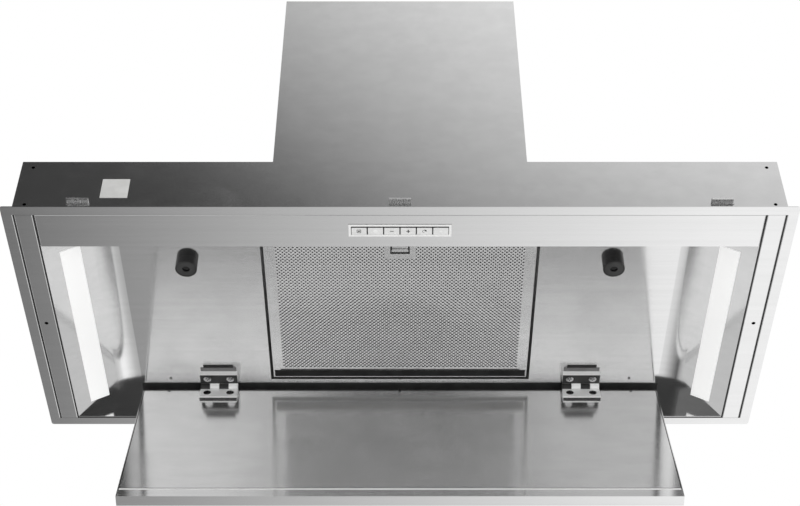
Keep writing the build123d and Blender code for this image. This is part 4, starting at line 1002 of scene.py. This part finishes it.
# %% Tree of the perforated sheet
def perforated_sheet_tree():
    """A flat sheet with staggered holes, a plain patch and one rectangular window."""
    tree, given, result = new_tree(
        "perforated_sheet",
        [
            ("Sheet length", "NodeSocketFloat"),
            ("Sheet depth", "NodeSocketFloat"),
            ("Thickness", "NodeSocketFloat"),
            ("Mesh depth", "NodeSocketFloat"),
            ("Columns", "NodeSocketInt"),
            ("Rows", "NodeSocketInt"),
            ("Column pitch", "NodeSocketFloat"),
            ("Row pitch", "NodeSocketFloat"),
            ("Mouth", "NodeSocketFloat"),
            ("Throat", "NodeSocketFloat"),
            ("Patch half", "NodeSocketFloat"),
            ("Patch reach", "NodeSocketFloat"),
            ("Window half", "NodeSocketFloat"),
            ("Window depth", "NodeSocketFloat"),
            ("Window centre", "NodeSocketFloat"),
            ("Finish", "NodeSocketMaterial"),
        ],
    )

    def product(first, second):
        return wire(tree, "ShaderNodeMath", {0: first, 1: second}, operation="MULTIPLY").outputs[0]

    def total(first, second):
        return wire(tree, "ShaderNodeMath", {0: first, 1: second}, operation="ADD").outputs[0]

    def less_than(first, second):
        return wire(tree, "ShaderNodeMath", {0: first, 1: second}, operation="LESS_THAN").outputs[0]

    def grid(shift_columns, shift_rows):
        width = product(given["Column pitch"], total(given["Columns"], -1.0))
        depth = product(given["Row pitch"], product(total(given["Rows"], -1.0), 2.0))
        points = wire(
            tree,
            "GeometryNodeMeshGrid",
            {
                "Size X": width,
                "Size Y": depth,
                "Vertices X": given["Columns"],
                "Vertices Y": given["Rows"],
            },
        )
        move = wire(
            tree,
            "ShaderNodeCombineXYZ",
            {
                "X": product(given["Column pitch"], shift_columns),
                "Y": product(given["Row pitch"], shift_rows),
            },
        )
        placed = {"Geometry": points.outputs["Mesh"], "Translation": move.outputs[0]}
        return wire(tree, "GeometryNodeTransform", placed).outputs["Geometry"]

    even = grid(-0.25, -0.5)
    odd = grid(0.25, 0.5)
    both = wire(tree, "GeometryNodeJoinGeometry")
    tree.links.new(even, both.inputs[0])
    tree.links.new(odd, both.inputs[0])

    spot = wire(tree, "ShaderNodeSeparateXYZ", {0: add(tree, "GeometryNodeInputPosition").outputs[0]}).outputs
    sideways = wire(tree, "ShaderNodeMath", {0: spot["X"]}, operation="ABSOLUTE").outputs[0]
    patch_edge = total(product(given["Mesh depth"], -0.5), given["Patch reach"])
    beside = less_than(sideways, given["Patch half"])
    before = less_than(spot["Y"], patch_edge)
    kept = wire(
        tree,
        "GeometryNodeDeleteGeometry",
        {"Geometry": both.outputs[0], "Selection": product(beside, before)},
        domain="POINT",
    )
    points = wire(tree, "GeometryNodeMeshToPoints", {"Mesh": kept.outputs[0]}).outputs[0]

    def on_points(shape):
        """A copy of the shape on each point, with the corners that meet welded together."""
        placed = wire(tree, "GeometryNodeInstanceOnPoints", {"Points": points, "Instance": shape})
        real = wire(tree, "GeometryNodeRealizeInstances", {"Geometry": placed.outputs[0]})
        welded = wire(tree, "GeometryNodeMergeByDistance", {"Geometry": real.outputs[0], "Distance": 0.00002})
        return welded.outputs[0]

    def filled(*loops):
        """Fills between the outer loop and the loops inside it."""
        joined = add(tree, "GeometryNodeJoinGeometry")
        for loop in loops:
            tree.links.new(loop, joined.inputs[0])
        return wire(tree, "GeometryNodeFillCurve", {"Curve": joined.outputs[0]}, mode="TRIANGLES").outputs[0]

    def moved(geometry, y=0.0, z=0.0):
        move = wire(tree, "ShaderNodeCombineXYZ", {"Y": y, "Z": z}).outputs[0]
        return wire(
            tree, "GeometryNodeTransform", {"Geometry": geometry, "Translation": move}
        ).outputs["Geometry"]

    def rectangle(width, depth):
        size = {"Width": width, "Height": depth}
        return wire(tree, "GeometryNodeCurvePrimitiveQuadrilateral", size).outputs[0]

    diamond = wire(
        tree,
        "GeometryNodeCurvePrimitiveQuadrilateral",
        {
            "Width": given["Column pitch"],
            "Bottom Height": given["Row pitch"],
            "Top Height": given["Row pitch"],
        },
        mode="KITE",
    )

    plain_tiles = on_points(filled(diamond.outputs[0]))
    neighbours = add(tree, "GeometryNodeInputMeshEdgeNeighbors").outputs["Face Count"]
    at_rim = wire(tree, "FunctionNodeCompare", data_type="INT", operation="EQUAL")
    tree.links.new(neighbours, at_rim.inputs[2])
    at_rim.inputs[3].default_value = 1
    tile_rim = wire(
        tree, "GeometryNodeMeshToCurve", {"Mesh": plain_tiles, "Selection": at_rim.outputs[0]}
    ).outputs[0]
    outline = rectangle(given["Sheet length"], given["Sheet depth"])
    window_width = product(given["Window half"], 2.0)
    window = moved(rectangle(window_width, given["Window depth"]), y=given["Window centre"])
    border = filled(outline, window, tile_rim)

    def face(radius):
        """The whole sheet at one level: holed tiles, and the plain border and patch round them."""
        ring = wire(tree, "GeometryNodeCurvePrimitiveCircle", {"Resolution": HOLE_SIDES, "Radius": radius})
        whole = add(tree, "GeometryNodeJoinGeometry")
        tree.links.new(border, whole.inputs[0])
        tree.links.new(on_points(filled(diamond.outputs[0], ring.outputs["Curve"])), whole.inputs[0])
        return whole.outputs[0]

    def flipped(mesh):
        return wire(tree, "GeometryNodeFlipFaces", {"Mesh": mesh}).outputs[0]

    def edge_wall(loop):
        """The cut edge of the sheet along a loop."""
        edge = wire(tree, "GeometryNodeCurveToMesh", {"Curve": loop}).outputs[0]
        up = wire(tree, "ShaderNodeCombineXYZ", {"Z": given["Thickness"]}).outputs[0]
        return wire(
            tree, "GeometryNodeExtrudeMesh", {"Mesh": edge, "Offset": up, "Offset Scale": 1.0}, mode="EDGES"
        ).outputs["Mesh"]

    cone = wire(
        tree,
        "GeometryNodeMeshCone",
        {
            "Vertices": HOLE_SIDES,
            "Side Segments": 1,
            "Radius Top": given["Throat"],
            "Radius Bottom": given["Mouth"],
            "Depth": given["Thickness"],
        },
        fill_type="NONE",
    )
    hole_walls = wire(
        tree, "GeometryNodeInstanceOnPoints", {"Points": points, "Instance": flipped(cone.outputs["Mesh"])}
    ).outputs[0]
    whole = add(tree, "GeometryNodeJoinGeometry")
    for piece in (
        flipped(face(given["Mouth"])),
        moved(face(given["Throat"]), z=given["Thickness"]),
        hole_walls,
        edge_wall(outline),
        flipped(edge_wall(window)),
    ):
        tree.links.new(piece, whole.inputs[0])
    realised = wire(tree, "GeometryNodeRealizeInstances", {"Geometry": whole.outputs[0]}).outputs[0]
    finished = wire(tree, "GeometryNodeSetMaterial", {"Geometry": realised, "Material": given["Finish"]})
    tree.links.new(finished.outputs[0], result)
    return tree


# %% Make the perforated sheet
mesh_size = mesh_high - mesh_low
columns = int((mesh_size.x - 2.0 * HOLE_MOUTH) / HOLE_COLUMN + 0.5)
row_pairs = int((mesh_size.y - 2.0 * HOLE_MOUTH - HOLE_ROW) / (2.0 * HOLE_ROW)) + 1
sheet_centre = (sheet_low + sheet_high) / 2.0
window_rear = mesh_low.y + GRIP_REACH - GRIP_WINDOW_BORDER
window_centre = window_rear - GRIP_WINDOW_DEPTH / 2.0
perforated = grow(
    "perforated_face",
    perforated_sheet_tree(),
    {
        "Sheet length": sheet_high.x - sheet_low.x,
        "Sheet depth": sheet_high.y - sheet_low.y,
        "Thickness": SHEET_THICKNESS,
        "Mesh depth": mesh_size.y,
        "Columns": columns,
        "Rows": row_pairs,
        "Column pitch": HOLE_COLUMN,
        "Row pitch": HOLE_ROW,
        "Mouth": HOLE_MOUTH,
        "Throat": HOLE_THROAT,
        "Patch half": GRIP_HALF,
        "Patch reach": GRIP_REACH,
        "Window half": GRIP_WINDOW_HALF,
        "Window depth": GRIP_WINDOW_DEPTH,
        "Window centre": window_centre - sheet_centre.y,
        "Finish": filter_aluminium,
    },
)
for vertex in perforated.data.vertices:
    vertex.co += Vector((sheet_centre.x, sheet_centre.y, sheet_low.z))
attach(perforated, "filter")
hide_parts("filter_face")
triangles = sum(len(face.vertices) - 2 for face in perforated.data.polygons)
print("perforated face:", columns, "by", 2 * row_pairs, "holes,", triangles, "triangles")
